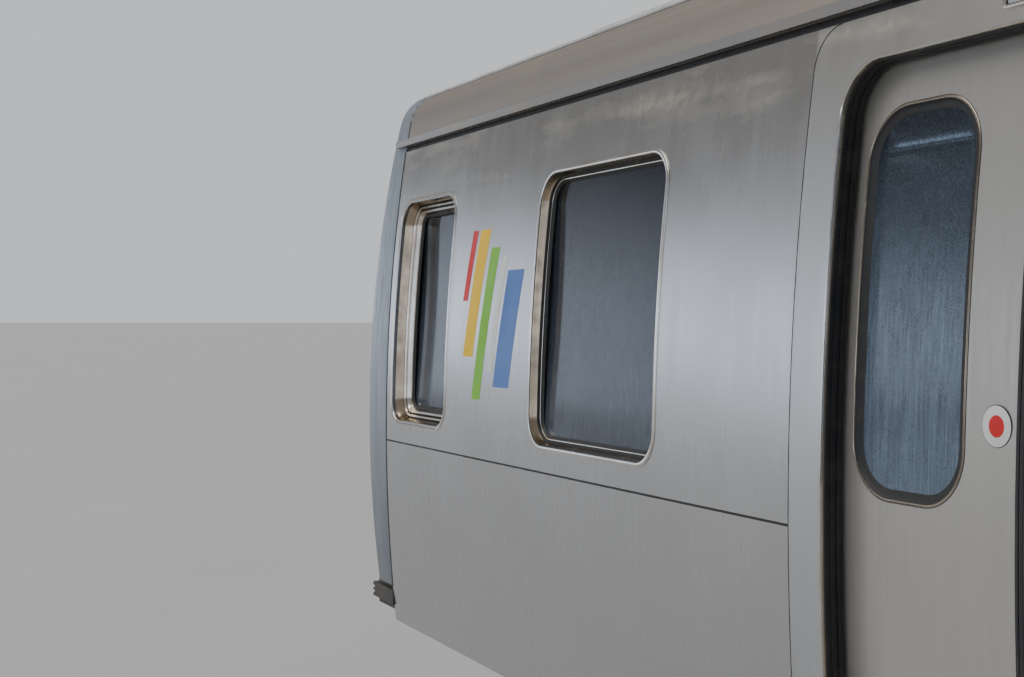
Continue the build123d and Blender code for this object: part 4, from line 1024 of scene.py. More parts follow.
def belt_joints(bm, side):
    """The joint at the belt, between the doorway panels."""
    def at_belt(x, rise, depth):
        return on_side(side)(x, BELT_Z + rise, depth)

    edges = sorted(x + way * PORTAL_HALF for x, way in product(DOOR_X, SIDES))
    ends = (-SEAM_X, *edges, SEAM_X)
    for x0, x1 in zip(ends[0::2], ends[1::2]):
        strip(bm, at_belt, spread(x0 + 0.004, x1 - 0.004, 6), flat(0.0039, -0.0026, 0.0038))


def over_roof(x):
    """Places over the roof: a point of the roof line, a step along the car and a depth."""
    return lambda p, step, depth: Vector((x + step, p[0] - p[2] * depth, p[1] - p[3] * depth))


def panel_seams(bm, wide):
    for side in SIDES:
        portal_joints(bm, side, wide)
        end_joints(bm, side, wide)
        belt_joints(bm, side)
    for x in (SEAM_X, -SEAM_X):
        strip(bm, over_roof(x), roof_line(), flat(wide * 1.5, 0.0008))


def indicator_frames(bm):
    half = INDICATOR_HALF + INDICATOR_LAP
    low, top = INDICATOR_LOW - INDICATOR_LAP, INDICATOR_TOP + INDICATOR_LAP
    for x, side in product(DOOR_X, SIDES):
        framed(bm, on_side(side), rounded(x - half, x + half, low, top, 0.012, 3, 2), INDICATOR_FRAME)


class METRO_OT_panel_seams(Operator):
    """Dark joints between the panels, and lamp frames over the doorways"""
    bl_idname = "metro.panel_seams"
    bl_label = "Panel joints"

    def execute(self, context):
        wide = context.scene.metro_sizes.seam_wide
        piece("panel_seams", "black_rubber", "under_paint", panel_seams, wide)
        piece("indicator_frames", BRIGHT_AND_BLACK, "rail_chrome", indicator_frames)
        return {"FINISHED"}


# Columns: X at the middle height, width in stripes, low Z, top Z, film
STRIPES = (
    (9.80, 0.55, 2.50, 2.80, 0), (9.69, 1.1, 2.26, 2.80, 1), (9.55, 0.9, 2.08, 2.72, 2),
    (9.43, 0.4, 2.20, 2.68, 4), (9.30, 1.6, 2.14, 2.62, 3),
)
STRIPE_FILMS = "red_film yellow_film green_film blue_film white_film"
STRIPE_LEAN = 0.22
STRIPE_MIDDLE_Z = 2.45


def leaning_stripes(bm, wide):
    for side, (x, share, low, top, film_number) in product(SIDES, STRIPES):
        def leaning(z, across, depth):
            return on_side(side)(x + across - (z - STRIPE_MIDDLE_Z) * STRIPE_LEAN, z, depth)

        strip(bm, leaning, spread(low, top, 8), flat(wide * share / 2, 0.0005), film_number)


class METRO_OT_leaning_stripes(Operator):
    """Coloured film on both sides behind the cab window: leaning stripes of several lengths"""
    bl_idname = "metro.leaning_stripes"
    bl_label = "Leaning stripes"

    def execute(self, context):
        wide = context.scene.metro_sizes.stripe_wide
        piece("leaning_stripes", STRIPE_FILMS, "front_paint", leaning_stripes, wide)
        return {"FINISHED"}


# Columns: step from the meeting line and depth, in millimetres
MEETING_EDGE = ((-2, 73), (1, 72.5), (9, 73), (13, 76.5), (13, 116), (9, 118.5), (1, 119), (-2, 118))
MEETING_LINE = 0.0035
MEETING_LOW = 1.14


def leaf_names():
    """Every sliding leaf: its name, middle of its doorway, side of the car and way it opens."""
    for number, x in enumerate(DOOR_X, 1):
        for side_name, side in (("left", 1), ("right", -1)):
            for end, way in ENDS:
                yield f"door_{number}_{side_name}_{end}", x, side, way


def leaf_window_rubber(bm, x, side, way):
    near, far, low, top, corner = LEAF_WINDOW
    a0, a1 = sorted((x + way * near, x + way * far))
    framed(bm, on_side(side), rounded(a0, a1, low, top, corner, 12, 10), LEAF_FRAME)


def leaf_meeting_edge(bm, x, side, way):
    def along_edge(z, step, depth):
        return on_side(side)(x + way * (MEETING_LINE + step / 1000), z, depth / 1000)

    strip(bm, along_edge, spread(MEETING_LOW, LEAF_TOP - 0.002, 14), MEETING_EDGE)


def leaf_round_plate(bm, x, side, way, r):
    """A white disc with a black edge and a red middle."""
    plate = (
        (-0.001, r, 1), (0.0015, r, 1), (0.0024, r - 0.002, 0), (0.0026, r * 0.52, 2), (0.0028, r * 0.5, 2),
        (0.0028, 0.0, 2),
    )
    spot = (x + way * PLATE_FROM_MIDDLE, PLATE_Z)
    face = on_side(side)(*spot, LEAF_DEPTH)
    turned(bm, face, on_side(side)(*spot, 0) - face, plate, 40)


class METRO_OT_leaf_trim(Operator):
    """Window rubbers, meeting edges and round plates of the sliding leaves"""
    bl_idname = "metro.leaf_trim"
    bl_label = "Door leaf trim"

    def execute(self, context):
        r = context.scene.metro_sizes.plate_across / 2
        discs = "white_film black_rubber red_film"
        for name, *about in leaf_names():
            body = f"{name}_leaf"
            piece(f"{name}_window_rubber", TRIM, "rail_chrome", leaf_window_rubber, *about, body=body)
            piece(f"{name}_meeting_edge", "black_rubber", "under_paint", leaf_meeting_edge, *about, body=body)
            piece(f"{name}_round_plate", discs, "front_paint", leaf_round_plate, *about, r, body=body)
        return {"FINISHED"}


# Turned parts of the front. Columns: distance ahead, radius, finish number
MARKER_LENS = (
    (0.005, 0.0685), (0.0215, 0.0685), (0.0245, 0.064), (0.0225, 0.047), (0.0215, 0.0445, 1),
    (0.03, 0.0425, 1), (0.037, 0.034, 1), (0.0405, 0.021, 1), (0.042, 0.0, 1),
)
HEADLAMP_RIM = ((-0.004, 0.0835), (0.0145, 0.0835), (0.018, 0.079), (0.0165, 0.07), (0.012, 0.0665))
HEADLAMP_BOWL = (
    (0.0125, 0.068, 2), (0.0095, 0.062, 2), (0.0045, 0.045, 2), (0.0015, 0.024, 2), (0.0015, 0.0, 2),
)
HEADLAMP_BULB = ((0.001, 0.013, 3), (0.006, 0.013, 3), (0.009, 0.009, 3), (0.01, 0.0, 3))
HEADLAMP_GLASS = (
    (0.0132, 0.0, 1), (0.0132, 0.066, 1), (0.0145, 0.066, 1), (0.019, 0.045, 1), (0.021, 0.02, 1),
    (0.0215, 0.0, 1),
)
STUD_FOOT = (
    (-0.02, 0.0275), (0.0, 0.0275), (0.012, 0.0295), (0.02, 0.0275), (0.028, 0.0295), (0.036, 0.0275),
    (0.044, 0.0295), (0.052, 0.0275), (0.06, 0.029), (0.066, 0.024), (0.068, 0.0115), (0.06, 0.0105),
)
STUD_KNOB = (
    (0.1, 0.0112), (0.103, 0.0165), (0.112, 0.0165), (0.115, 0.013), (0.155, 0.013), (0.158, 0.0165),
    (0.168, 0.0165), (0.1715, 0.013), (0.172, 0.0),
)
STUDS = ((1.428, 1.99), (1.428, 1.555))
# Columns: piece, finishes, slot, places (Y, Z), shapes (profile, steps, capped)
FRONT_ROUNDS = (
    ("marker_lenses", "lamp_bezel red_lens", "lamp_body", ((1.175, 3.37),), ((MARKER_LENS, 36, True),)),
    ("headlamp_glasses", "lamp_bezel clear_glass lamp_chrome white_film", "lamp_body", ((1.268, 1.404),), (
        (HEADLAMP_RIM, 40, False), (HEADLAMP_BOWL, 40, False), (HEADLAMP_BULB, 20, True),
        (HEADLAMP_GLASS, 40, True))),
    ("stud_feet", "black_rubber", "under_paint", STUDS, ((STUD_FOOT, 28, True),)),
    ("stud_knobs", "worn_brass", "brass", STUDS, ((STUD_KNOB, 28, True),)),
)
# Columns: piece, finishes, surface, outline, profile
END_RIMS = (
    ("windscreen_rims", "bright_trim screen_border", on_nose, rounded(0.44, 1.39, 2.0, 3.04, 0.14, 10, 10),
     SCREEN_RIM),
    ("rear_window_rims", BRIGHT_AND_BLACK, on_rear, rounded(0.54, 1.29, 2.1, 2.94, 0.06, 8, 2), REAR_RIM),
)


def window_rims(bm, surface, outline, rim):
    for side in SIDES:
        framed(bm, surface(side), outline, rim)


def front_rounds(bm, places, shapes):
    for side, (y, z), (profile, steps, capped) in product(SIDES, places, shapes):
        turned(bm, on_nose(side)(y, z, 0), AHEAD, profile, steps, capped)


class METRO_OT_front_trim(Operator):
    """Rims of the windscreens and rear windows, lamp lenses, stud feet"""
    bl_idname = "metro.front_trim"
    bl_label = "Trim of the two ends"

    def execute(self, context):
        for name, finishes, *about in END_RIMS:
            piece(name, finishes, "rail_chrome", window_rims, *about)
        for name, finishes, slot, *about in FRONT_ROUNDS:
            piece(name, finishes, slot, front_rounds, *about)
        return {"FINISHED"}


GUTTER_DROP = ((-0.001, 0.0035), (0.002, 0.0038), (0.0045, 0.0028), (0.0058, 0.0))
DROP_RUNS = (-8.3, -3.1, 3.1, 8.3)
DROP_RUN_HALF = 1.9
DROPS_IN_RUN = 46
DROP_STEP = 0.083


def gutter_sealant(bm):
    # This strip's black is sealant and also painted shadow, the shade that the rail casts into the groove.
    low, top = GUTTER_Z - GROOVE_TALL + 0.0005, GUTTER_Z - 0.0005
    section = ((low, 0.013), (low, 0.0075), (low + 0.008, 0.006), (top, 0.009), (top, 0.013))
    for side in SIDES:
        strip(bm, on_side(side), (-SEAM_X, 0.0, SEAM_X), section)


def gutter_drips(bm):
    """Drops in four runs on each side, a little unevenly spaced."""
    draw = random.Random(7)
    for side, x, k in product(SIDES, DROP_RUNS, range(DROPS_IN_RUN)):
        at = x - DROP_RUN_HALF + k * DROP_STEP + draw.uniform(-0.012, 0.012)
        turned(bm, (at, side * (GUTTER_Y + 0.018), GUTTER_Z + 0.0025), DOWN, GUTTER_DROP, 8)


class METRO_OT_gutters(Operator):
    """Black sealant under the gutter rails, its black also a painted shadow in the groove, with a bead of
    rain drops
    """
    bl_idname = "metro.gutters"
    bl_label = "Gutters"

    def execute(self, context):
        piece("gutter_sealant", "black_rubber", "under_paint", gutter_sealant)
        piece("gutter_drips", "dark_lens", "under_paint", gutter_drips)
        return {"FINISHED"}


# Sections of the roof seams. Columns: step, depth; of the beads: angle, depth
CROSS_SEAM = ((-0.014, 0.001), (-0.012, -0.003), (0.012, -0.003), (0.014, 0.001))
LONG_SEAM = ((-0.01, 0.001), (-0.006, -0.007), (0.006, -0.007), (0.01, 0.001))
DARK_LINE = ((50.4, 0.001), (50.8, -0.0012), (51.8, -0.0012), (52.0, 0.001))
# The pale bead's light finish paints the highlight along the curve of the roof shoulder.
PALE_BEAD = ((52.0, 0.001), (52.3, -0.01), (55.2, -0.012), (56.0, 0.001))
LONG_RUN = (-SEAM_X, -5, 0, 5, SEAM_X)
LONG_SEAMS_Y = (1.16, 0.98)
CROSS_SEAM_END = 1.2
UNIT_HALF = 2.2
UNIT_CLEAR_Y = 0.72
# Columns: rear X, front X of the plates on a roof unit; then right Y, left Y of their two rows
UNIT_PLATES = ((5.99, 6.74), (8.34, 9.1), (9.16, 10.1))
PLATE_ROWS = ((-0.56, -0.03), (0.03, 0.56))
PLATE_BOLT_IN = 0.03
SLAT_RUNS = ((8.45, 9.15), (9.25, 9.95))
SLATS_Z = (3.675, 3.692, 3.709, 3.726, 3.743)
GRILLE_RINGS = (0.09, 0.13, 0.17, 0.21, 0.25)
GRILLE_BAR_R = 0.004
FEET_X = spread(5.95, 10.2, 10)
# Boxes here and below. Columns: X, X, Y, Y, Z, Z, finish number, bevel
UNIT_FOOT = ((-0.02, 0.02, 0.688, 0.725, 3.655, 3.672, 0, 0.002),)
FAN_RING = (
    (-0.001, 0.325), (0.004, 0.325), (0.012, 0.318), (0.012, 0.3), (0.002, 0.2905), (-0.02, 0.2905),
)
FAN_HUB = ((-0.01, 0.055), (0.006, 0.055), (0.012, 0.045), (0.012, 0.0))
# Columns: radius, lift
FAN_BLADE = ((0.06, 0.004), (0.15, 0.003), (0.27, 0.0))
PLATE_BOLT = ((0, 0.009), (0.004, 0.008), (0.005, 0.0))
FOOT_BOLT = ((0, 0.008), (0.006, 0.007), (0.007, 0.0))


def roof_seams(bm):
    """Seams across and along the roof, and on its shoulders the dark line and the pale bead, whose pale
    colour is a painted highlight.
    """
    for x in spread(-9.6, 9.6, 8):
        runs = ((-CROSS_SEAM_END, -UNIT_CLEAR_Y), (UNIT_CLEAR_Y, CROSS_SEAM_END))
        if abs(abs(x) - HVAC_X) >= UNIT_HALF:
            runs = ((-CROSS_SEAM_END, CROSS_SEAM_END),)
        for a, b in runs:
            strip(bm, lambda y, step, depth: on_roof(x + step, y, depth), spread(a, b, 12), CROSS_SEAM)
    for side in SIDES:
        for y in LONG_SEAMS_Y:
            strip(bm, lambda x, step, depth: on_roof(x, side * (y + step), depth), LONG_RUN, LONG_SEAM)
        strip(bm, on_cant(side), LONG_RUN, DARK_LINE, 2)
        strip(bm, on_cant(side), LONG_RUN, PALE_BEAD, 1)


def fan_grille(bm, x):
    """Rings and spokes of round bar over a fan."""
    def over_fan(r, c, s, lift):
        return x + r * c, r * s, HATCH_TOP + lift

    around = spokes(36)
    for r in GRILLE_RINGS:
        tube(bm, [over_fan(r, c, s, 0.006) for c, s in (*around, around[0])], GRILLE_BAR_R, 0, 6)
    for c, s in spokes(12):
        tube(bm, [over_fan(0.05, c, s, 0.007), over_fan(0.296, c, s, 0.003)], GRILLE_BAR_R, 0, 6)


def roof_grilles(bm):
    for end, side, z, run in product(SIDES, SIDES, SLATS_Z, SLAT_RUNS):
        slat = ((0.687, z - 0.006), (0.702, z - 0.009), (0.703, z - 0.006), (0.69, z + 0.003))
        strip(bm, mirrored(end, side), run, slat)
    for end, x in product(SIDES, FANS_X):
        fan_grille(bm, end * x)


def fan_blade(bm, middle, across, along):
    """One pitched blade of a fan, with its underside."""
    low, high = [], []
    for r, lift in FAN_BLADE:
        centre, half = middle + across * r + Vector((0, 0, lift - 0.024)), 0.03 + r * 0.14
        low.append(centre - along * half + Vector((0, 0, -0.007)))
        high.append(centre + along * half)
    under = [[p - Vector((0, 0, 0.002)) for p in edge] for edge in (high, low)]
    skin_between(bm, [low, high, *under], 1)


def unit_plate(bm, x0, x1, y0, y1):
    """An access plate with six bolts."""
    box(bm, x0, x1, y0, y1, HVAC_TOP - 0.002, HVAC_TOP + 0.0045, 0, 0.0015)
    bolts_x = (x0 + PLATE_BOLT_IN, (x0 + x1) / 2, x1 - PLATE_BOLT_IN)
    for x, y in product(bolts_x, (y0 + PLATE_BOLT_IN, y1 - PLATE_BOLT_IN)):
        turned(bm, (x, y, HVAC_TOP + 0.004), UP, PLATE_BOLT, 10)


def roof_unit_covers(bm):
    for end, x in product(SIDES, FANS_X):
        middle = Vector((end * x, 0, HATCH_TOP))
        turned(bm, middle, UP, FAN_RING, 48, False)
        for c, s in spokes(7):
            fan_blade(bm, middle, Vector((c, s, 0)), Vector((-s, c, 0)))
        turned(bm, middle, UP, FAN_HUB, 24)
    for end, (x0, x1), row in product(SIDES, UNIT_PLATES, PLATE_ROWS):
        unit_plate(bm, *sorted((end * x0, end * x1)), *row)
    for end, side, x in product(SIDES, SIDES, FEET_X):
        blocks(bm, UNIT_FOOT, end * x, side)
        turned(bm, (end * x, side * 0.712, 3.671), UP, FOOT_BOLT, 10)


class METRO_OT_roof_fittings(Operator):
    """Grilles, fans, access plates and bolts of the roof units, and the seams of the roof sheets"""
    bl_idname = "metro.roof_fittings"
    bl_label = "Roof fittings"

    def execute(self, context):
        piece("roof_seams", "roof_steel roof_bead black_rubber", "roof_steel", roof_seams)
        piece("roof_grilles", "under_paint", "under_paint", roof_grilles)
        piece("roof_unit_covers", "unit_paint under_paint", "roof_steel", roof_unit_covers)
        return {"FINISHED"}


def line_of(first, last, count, depth):
    """Places on a straight line on a surface, all at one depth."""
    return [(a, b, depth) for a, b in zip(spread(first[0], last[0], count), spread(first[1], last[1], count))]


# Bars of a wiper. Columns: places (Y, Z, depth), radius, steps
WIPER_BARS = (
    (((0.60, 1.925, -0.028), (0.70, 2.09, -0.026), (0.87, 2.37, -0.008)), 0.007, 8),
    (((0.87, 2.37, -0.01), (0.87, 2.37, 0.008)), 0.009, 8),
    (line_of((0.76, 2.08), (0.98, 2.66), 6, 0.0065), 0.007, 6),
    (line_of((0.795, 2.173), (0.945, 2.567), 3, -0.003), 0.0045, 6),
)
WIPER_PIVOT = (0.60, 1.925, 0.004)
WIPER_HUB = ((0, 0.03), (0.02, 0.028), (0.036, 0.017), (0.04, 0.0))
RAIL_FOOT = ((0, 0.024), (0.004, 0.024), (0.006, 0.018), (0.006, 0.0))
LOCK = ((0, 0.02), (0.006, 0.019), (0.008, 0.012), (0.004, 0.01), (0.004, 0.0))
# Bar handles. Columns: Y, low Z, top Z, how far out, depth of the ends, corner, radius
GRAB_RAIL = (0.395, 1.42, 1.92, 0.05, 0.005, 0.03, 0.011)
DOOR_HANDLE = (-0.27, 2.02, 2.2, 0.042, 0.002, 0.02, 0.008)
LOCK_AT = (-0.27, 1.93, 0.0)
HINGE_Y = 0.332
HINGES_Z = (1.35, 2.1, 2.85)
KICK_PLATE = ((-0.003, 0.003, -0.3, 0.3, 1.16, 1.42, 1, 0.001),)


def wipers(bm):
    for side in SIDES:
        place = on_nose(side)
        turned(bm, place(*WIPER_PIVOT), AHEAD, WIPER_HUB, 20)
        for places, r, steps in WIPER_BARS:
            tube(bm, [place(*spot) for spot in places], r, 0, steps)


def handle(bm, at, y, low, top, out, sunk, corner, r):
    """A bar handle that stands off a face and goes back into it."""
    spots = [at(y, low, sunk), at(y, low, -out), at(y, top, -out), at(y, top, sunk)]
    tube(bm, bend(spots, corner), r)


def grab_rails(bm):
    y, *heights = GRAB_RAIL[:3]
    for (out, surface), side in product(((1, on_nose), (-1, on_rear)), SIDES):
        handle(bm, surface(side), *GRAB_RAIL)
        for z in heights:
            turned(bm, surface(side)(y, z, 0.002), (out, 0, 0), RAIL_FOOT, 20)


def end_door_edge(inset):
    """Up one side of an end door, over it and down the other."""
    half, top = 0.349 - inset, 3.049 - inset
    return (-half, 1.13), (-half, top), (half, top), (half, 1.13)


def end_door_gaskets(bm):
    for end in END_DOORS:
        framed(bm, on_end_door(end), end_door_edge, GASKET, False)


def end_door_rim(bm, end):
    framed(bm, on_end_door(end), rounded(-0.205, 0.205, 2.05, 2.9, 0.08, 8, 2), END_DOOR_RIM)


def end_door_hardware(bm, end):
    """Handle, lock, kick plate and hinges."""
    (out, face), at = END_DOORS[end], on_end_door(end)
    handle(bm, at, *DOOR_HANDLE)
    turned(bm, at(*LOCK_AT), (out, 0, 0), LOCK, 20)
    blocks(bm, KICK_PLATE, face, 1)
    for z in HINGES_Z:
        tube(bm, [at(HINGE_Y, z - 0.06, -0.004), at(HINGE_Y, z + 0.06, -0.004)], 0.0075, 0, 10)


class METRO_OT_end_fittings(Operator):
    """Wipers, grab rails, door gaskets, hinges, handles and the window rims of the end doors"""
    bl_idname = "metro.end_fittings"
    bl_label = "End fittings"

    def execute(self, context):
        piece("wipers", "black_rubber", "under_paint", wipers)
        piece("grab_rails", "chrome", "rail_chrome", grab_rails)
        piece("end_door_gaskets", "black_rubber", "under_paint", end_door_gaskets)
        for end in END_DOORS:
            door = f"{end}_end_door"
            piece(f"{door}_rim", BRIGHT_AND_BLACK, "rail_chrome", end_door_rim, end, body=door)
            piece(f"{door}_hardware", "chrome sill_metal", "rail_chrome", end_door_hardware, end, body=door)
        return {"FINISHED"}


# Equipment under the floor. Columns: rear X, front X, side of the car, lowest Z
CASES = (
    (4.15, 5.75, -1, 0.42), (4.3, 5.6, 1, 0.47), (1.9, 3.7, -1, 0.4), (2.1, 3.6, 1, 0.52),
    (-0.7, 1.3, 1, 0.43), (-0.5, 1.2, -1, 0.5), (-3.4, -1.3, -1, 0.44), (-5.6, -4.1, -1, 0.4),
    (-5.7, -4.4, 1, 0.56),
)
LONG_CASE = 1.55
CASE_MARGIN = 0.04
COVER_GAP = 0.03
COVER_TOP = 0.915
LOUVRES = 7
LOUVRE_STEP = 0.033
LOUVRE_TOP = 0.86
LATCH_BOLT = ((0, 0.012), (0.01, 0.011), (0.012, 0.0))
# Columns: Y, Z, radius
PIPES = ((1.366, 0.922, 0.017), (1.35, 0.905, 0.011))
PIPE_CLAMP = ((-0.012, 0.012, 1.335, 1.392, 0.893, 0.945, 1, 0.002),)
CLAMPS_X = spread(-5.6, 5.62, 11)


def covers():
    """Every cover: whether it has louvres, rear X, front X, side of the car and lowest Z of its case."""
    for number, (x0, x1, side, low) in enumerate(CASES):
        count = 3 if x1 - x0 > LONG_CASE else 2
        step = (x1 - x0 - 2 * CASE_MARGIN) / count
        for k in range(count):
            a = x0 + CASE_MARGIN + k * step + COVER_GAP / 2
            yield number % 3 == k, a, a + step - COVER_GAP, side, low


def case_covers(bm):
    for louvred, a, b, side, low in covers():
        def off_face(x, out, z):
            return Vector((x, side * (CASE_FACE + out), z))

        back, front = side * (CASE_FACE - 0.002), side * (CASE_FACE + 0.012)
        box(bm, a, b, back, front, low + 0.075, COVER_TOP, 0, 0.004)
        for n in range(LOUVRES if louvred else 0):
            z = low + 0.2 + n * LOUVRE_STEP
            if z <= LOUVRE_TOP:
                slat = ((0.011, z), (0.026, z - 0.02), (0.028, z - 0.018), (0.013, z + 0.006))
                strip(bm, off_face, (a + 0.08, b - 0.08), slat)


def case_latches(bm):
    """Latches of the covers, and two pipes along each side in their clamps."""
    for louvred, a, b, side, low in covers():
        back, front = side * (CASE_FACE + 0.01), side * (CASE_FACE + 0.026)
        for x in (a + 0.07, b - 0.07):
            box(bm, x - 0.014, x + 0.014, back, front, low + 0.1, low + 0.155, 0, 0.003)
            turned(bm, (x, side * (CASE_FACE + 0.012), 0.87), (0, side, 0), LATCH_BOLT, 12)
    for side in SIDES:
        for y, z, r in PIPES:
            tube(bm, [(x, side * y, z) for x in (-5.9, 0, 5.9)], r, 1)
        for x in CLAMPS_X:
            blocks(bm, PIPE_CLAMP, x, side)


class METRO_OT_case_covers(Operator):
    """Covers, latches, louvres and pipes on the equipment under the floor"""
    bl_idname = "metro.case_covers"
    bl_label = "Equipment covers"

    def execute(self, context):
        piece("case_covers", "case_paint", "case_paint", case_covers)
        piece("case_latches", "chrome under_paint", "rail_chrome", case_latches)
        return {"FINISHED"}


# Turned parts of the trucks and couplers. Columns: distance along the axis, radius
AXLE_CAP = (
    (-0.002, 0.118), (0.012, 0.118), (0.018, 0.112), (0.018, 0.09), (0.04, 0.082), (0.046, 0.07),
    (0.046, 0.0),
)
CAP_BOLT = ((0, 0.009), (0.01, 0.009), (0.012, 0.007), (0.012, 0.0))
SHOE_BOLT = ((0, 0.01), (0.008, 0.01), (0.009, 0.0))
BELLOWS = (
    (0.0, 0.2495), (0.004, 0.262), (0.02, 0.262), (0.026, 0.254), (0.036, 0.252), (0.052, 0.268),
    (0.07, 0.274), (0.088, 0.268), (0.1, 0.256), (0.112, 0.268), (0.126, 0.272), (0.14, 0.266),
    (0.15, 0.254), (0.156, 0.262), (0.165, 0.262), (0.165, 0.2495),
)
WHEEL_BOLT = ((0, 0.011), (0.009, 0.011), (0.012, 0.008), (0.012, 0.0))
WHEEL_RIM = ((-0.004, 0.347), (0.004, 0.345), (0.006, 0.341), (0.006, 0.309), (0.004, 0.304), (-0.004, 0.302))
FACE_BOLT = ((-0.001, 0.017), (0.004, 0.016), (0.006, 0.0))
CONE = (
    (0.0, 0.072), (0.003, 0.07), (0.004, 0.054), (0.02, 0.0515), (0.085, 0.0515), (0.1, 0.047),
    (0.109, 0.036), (0.112, 0.02), (0.112, 0.0),
)
CUP = ((0.0, 0.082), (0.003, 0.08), (0.0035, 0.067), (-0.01, 0.0612), (-0.06, 0.0612))
CUP_FLOOR = ((0.0, 0.05), (0.03, 0.04), (0.035, 0.02), (0.035, 0.0))
HEAD_BOLT = ((0, 0.012), (0.008, 0.012), (0.01, 0.0))
CONTACT = ((-0.002, 0.024), (0.003, 0.024), (0.005, 0.016), (0.002, 0.014), (0.002, 0.0))
PIVOT_RING = ((-0.0735, 0.095), (-0.0765, 0.09), (-0.0765, 0.05), (-0.0735, 0.05))
# Columns: step from the truck's middle, height
BRAKE_PIPE = ((1.25, 0.601), (0.72, 0.632), (0.5, 0.556), (0.27, 0.552))
AIR_HOSE = ((11.19, 0.2, 0.52), (11.06, 0.21, 0.49), (10.96, 0.14, 0.56), (10.94, 0.055, 0.7))
AXLE_CAP_Y = 1.085
CAP_BOLTS_R = 0.102
WHEEL_BOLTS_R = 0.098
DAMPER_AT = (0.36, 1.18)
# Radii, finishes and heights of the two halves of a damper
DAMPER = ((0.031, 1, (0.5, 0.62)), (0.024, 0, (0.6, 0.76)))
RIB = ((-0.003, 0.003, 0.985, 1.107, 0.285, 0.465, 1, 0.001),)
# Foot and head of the damper, block of the collector; then the shoe of the collector
TRUCK_BLOCKS = (
    (0.325, 0.395, 1.08, 1.205, 0.49, 0.51, 0, 0.003), (0.22, 0.395, 1.12, 1.215, 0.745, 0.775, 0, 0.003),
    (0.25, 0.35, 1.228, 1.262, 0.32, 0.4, 1, 0.004),
)
SHOE = ((-0.085, 0.085, 1.32, 1.462, 0.2615, 0.272, 0, 0.003),)


def bolt_ring(bm, x, y, side, r, turns, bolt):
    """Bolts in a ring round an axle."""
    for c, s in turns:
        turned(bm, (x + r * c, side * y, WHEEL_Z + r * s), (0, side, 0), bolt, 6)


def axle_box_trim(bm, x, side):
    """The bolted cap of an axle box and the rubber ribs beside it."""
    turned(bm, (x, side * AXLE_CAP_Y, WHEEL_Z), (0, side, 0), AXLE_CAP, 40)
    bolt_ring(bm, x, AXLE_CAP_Y + 0.015, side, CAP_BOLTS_R, spokes(6, 30), CAP_BOLT)
    for way, n in product(SIDES, range(4)):
        blocks(bm, RIB, x + way * (0.135 + n * 0.0085), side)


def truck_fittings(bm, middle):
    """Axle box trim, dampers, brake pipes and collectors of one truck."""
    for side, way in product(SIDES, SIDES):
        axle_box_trim(bm, middle + way * AXLE_FROM_TRUCK, side)
        blocks(bm, TRUCK_BLOCKS, middle, side, way)
        for r, kind, heights in DAMPER:
            tube(bm, [(middle + way * DAMPER_AT[0], side * DAMPER_AT[1], z) for z in heights], r, kind, 16)
        pipe = [(middle + way * step, side * 1.03, z) for step, z in BRAKE_PIPE]
        tube(bm, bend(pipe, 0.05), 0.011, 1, 10)
        for z in (0.335, 0.385):
            turned(bm, (middle + way * 0.3, side * 1.262, z), (0, side, 0), SHOE_BOLT, 6)
    for side in SIDES:
        blocks(bm, SHOE, middle, side)


def truck_bellows(bm, middle):
    for side in SIDES:
        turned(bm, (middle, side * 1.01, 0.535), UP, BELLOWS, 48)


def wheel_bolts(bm, x):
    for side in SIDES:
        bolt_ring(bm, x, 0.84, side, WHEEL_BOLTS_R, spokes(8), WHEEL_BOLT)
        turned(bm, (x, side * 0.8205, WHEEL_Z), (0, side, 0), WHEEL_RIM, 56, False)


CONE_Y = 0.088
CONTACTS_Y = (-0.2, -0.1, 0, 0.1, 0.2)
# Columns: rear X, front X, radius
COLLARS = ((10.5, 10.56, 0.088), (11.0, 11.09, 0.092))


def head_covers(bm, a, b):
    """Bolted covers on the top and both sides of a coupler's head."""
    box(bm, a, b, -0.12, 0.12, 0.9, 0.919, 0, 0.006)
    for side in SIDES:
        box(bm, a + 0.01, b - 0.03, side * 0.168, side * 0.178, 0.62, 0.86, 0, 0.004)
        for x in (a + 0.035, b - 0.055):
            for z in (0.645, 0.835):
                turned(bm, (x, side * 0.177, z), (0, side, 0), HEAD_BOLT, 6)
            turned(bm, (x, side * 0.08, 0.918), UP, HEAD_BOLT, 6)


def coupler_fittings(bm, end):
    """Cone, cup, covers, contacts, hoses and collars of a coupler."""
    ahead, face = (end, 0, 0), end * COUPLER_FACE
    for y, z in product((-0.145, 0.145), (0.6, 0.88)):
        turned(bm, (face, y, z), ahead, FACE_BOLT, 6)
    turned(bm, (face, end * CONE_Y, COUPLER_Z), ahead, CONE, 36)
    turned(bm, (face, -end * CONE_Y, COUPLER_Z), ahead, CUP, 36, False)
    turned(bm, (face - end * 0.12, -end * CONE_Y, COUPLER_Z), ahead, CUP_FLOOR, 24)
    head_covers(bm, *sorted((end * 11.17, end * 11.4)))
    for side in SIDES:
        tube(bm, bend([mirrored(end, side)(*spot) for spot in AIR_HOSE], 0.05), 0.014, 2, 10)
    box(bm, end * 11.18, end * 11.425, -0.256, 0.256, 0.46, 0.56, 1, 0.004)
    for y in CONTACTS_Y:
        turned(bm, (end * 11.425, y, 0.53), ahead, CONTACT, 16)
    turned(bm, (end * 10.35, 0, COUPLER_Z), UP, PIVOT_RING, 32, False)
    for x0, x1, r in COLLARS:
        tube(bm, [(end * x0, 0.0, COUPLER_Z), (end * x1, 0.0, COUPLER_Z)], r, 0, 28)


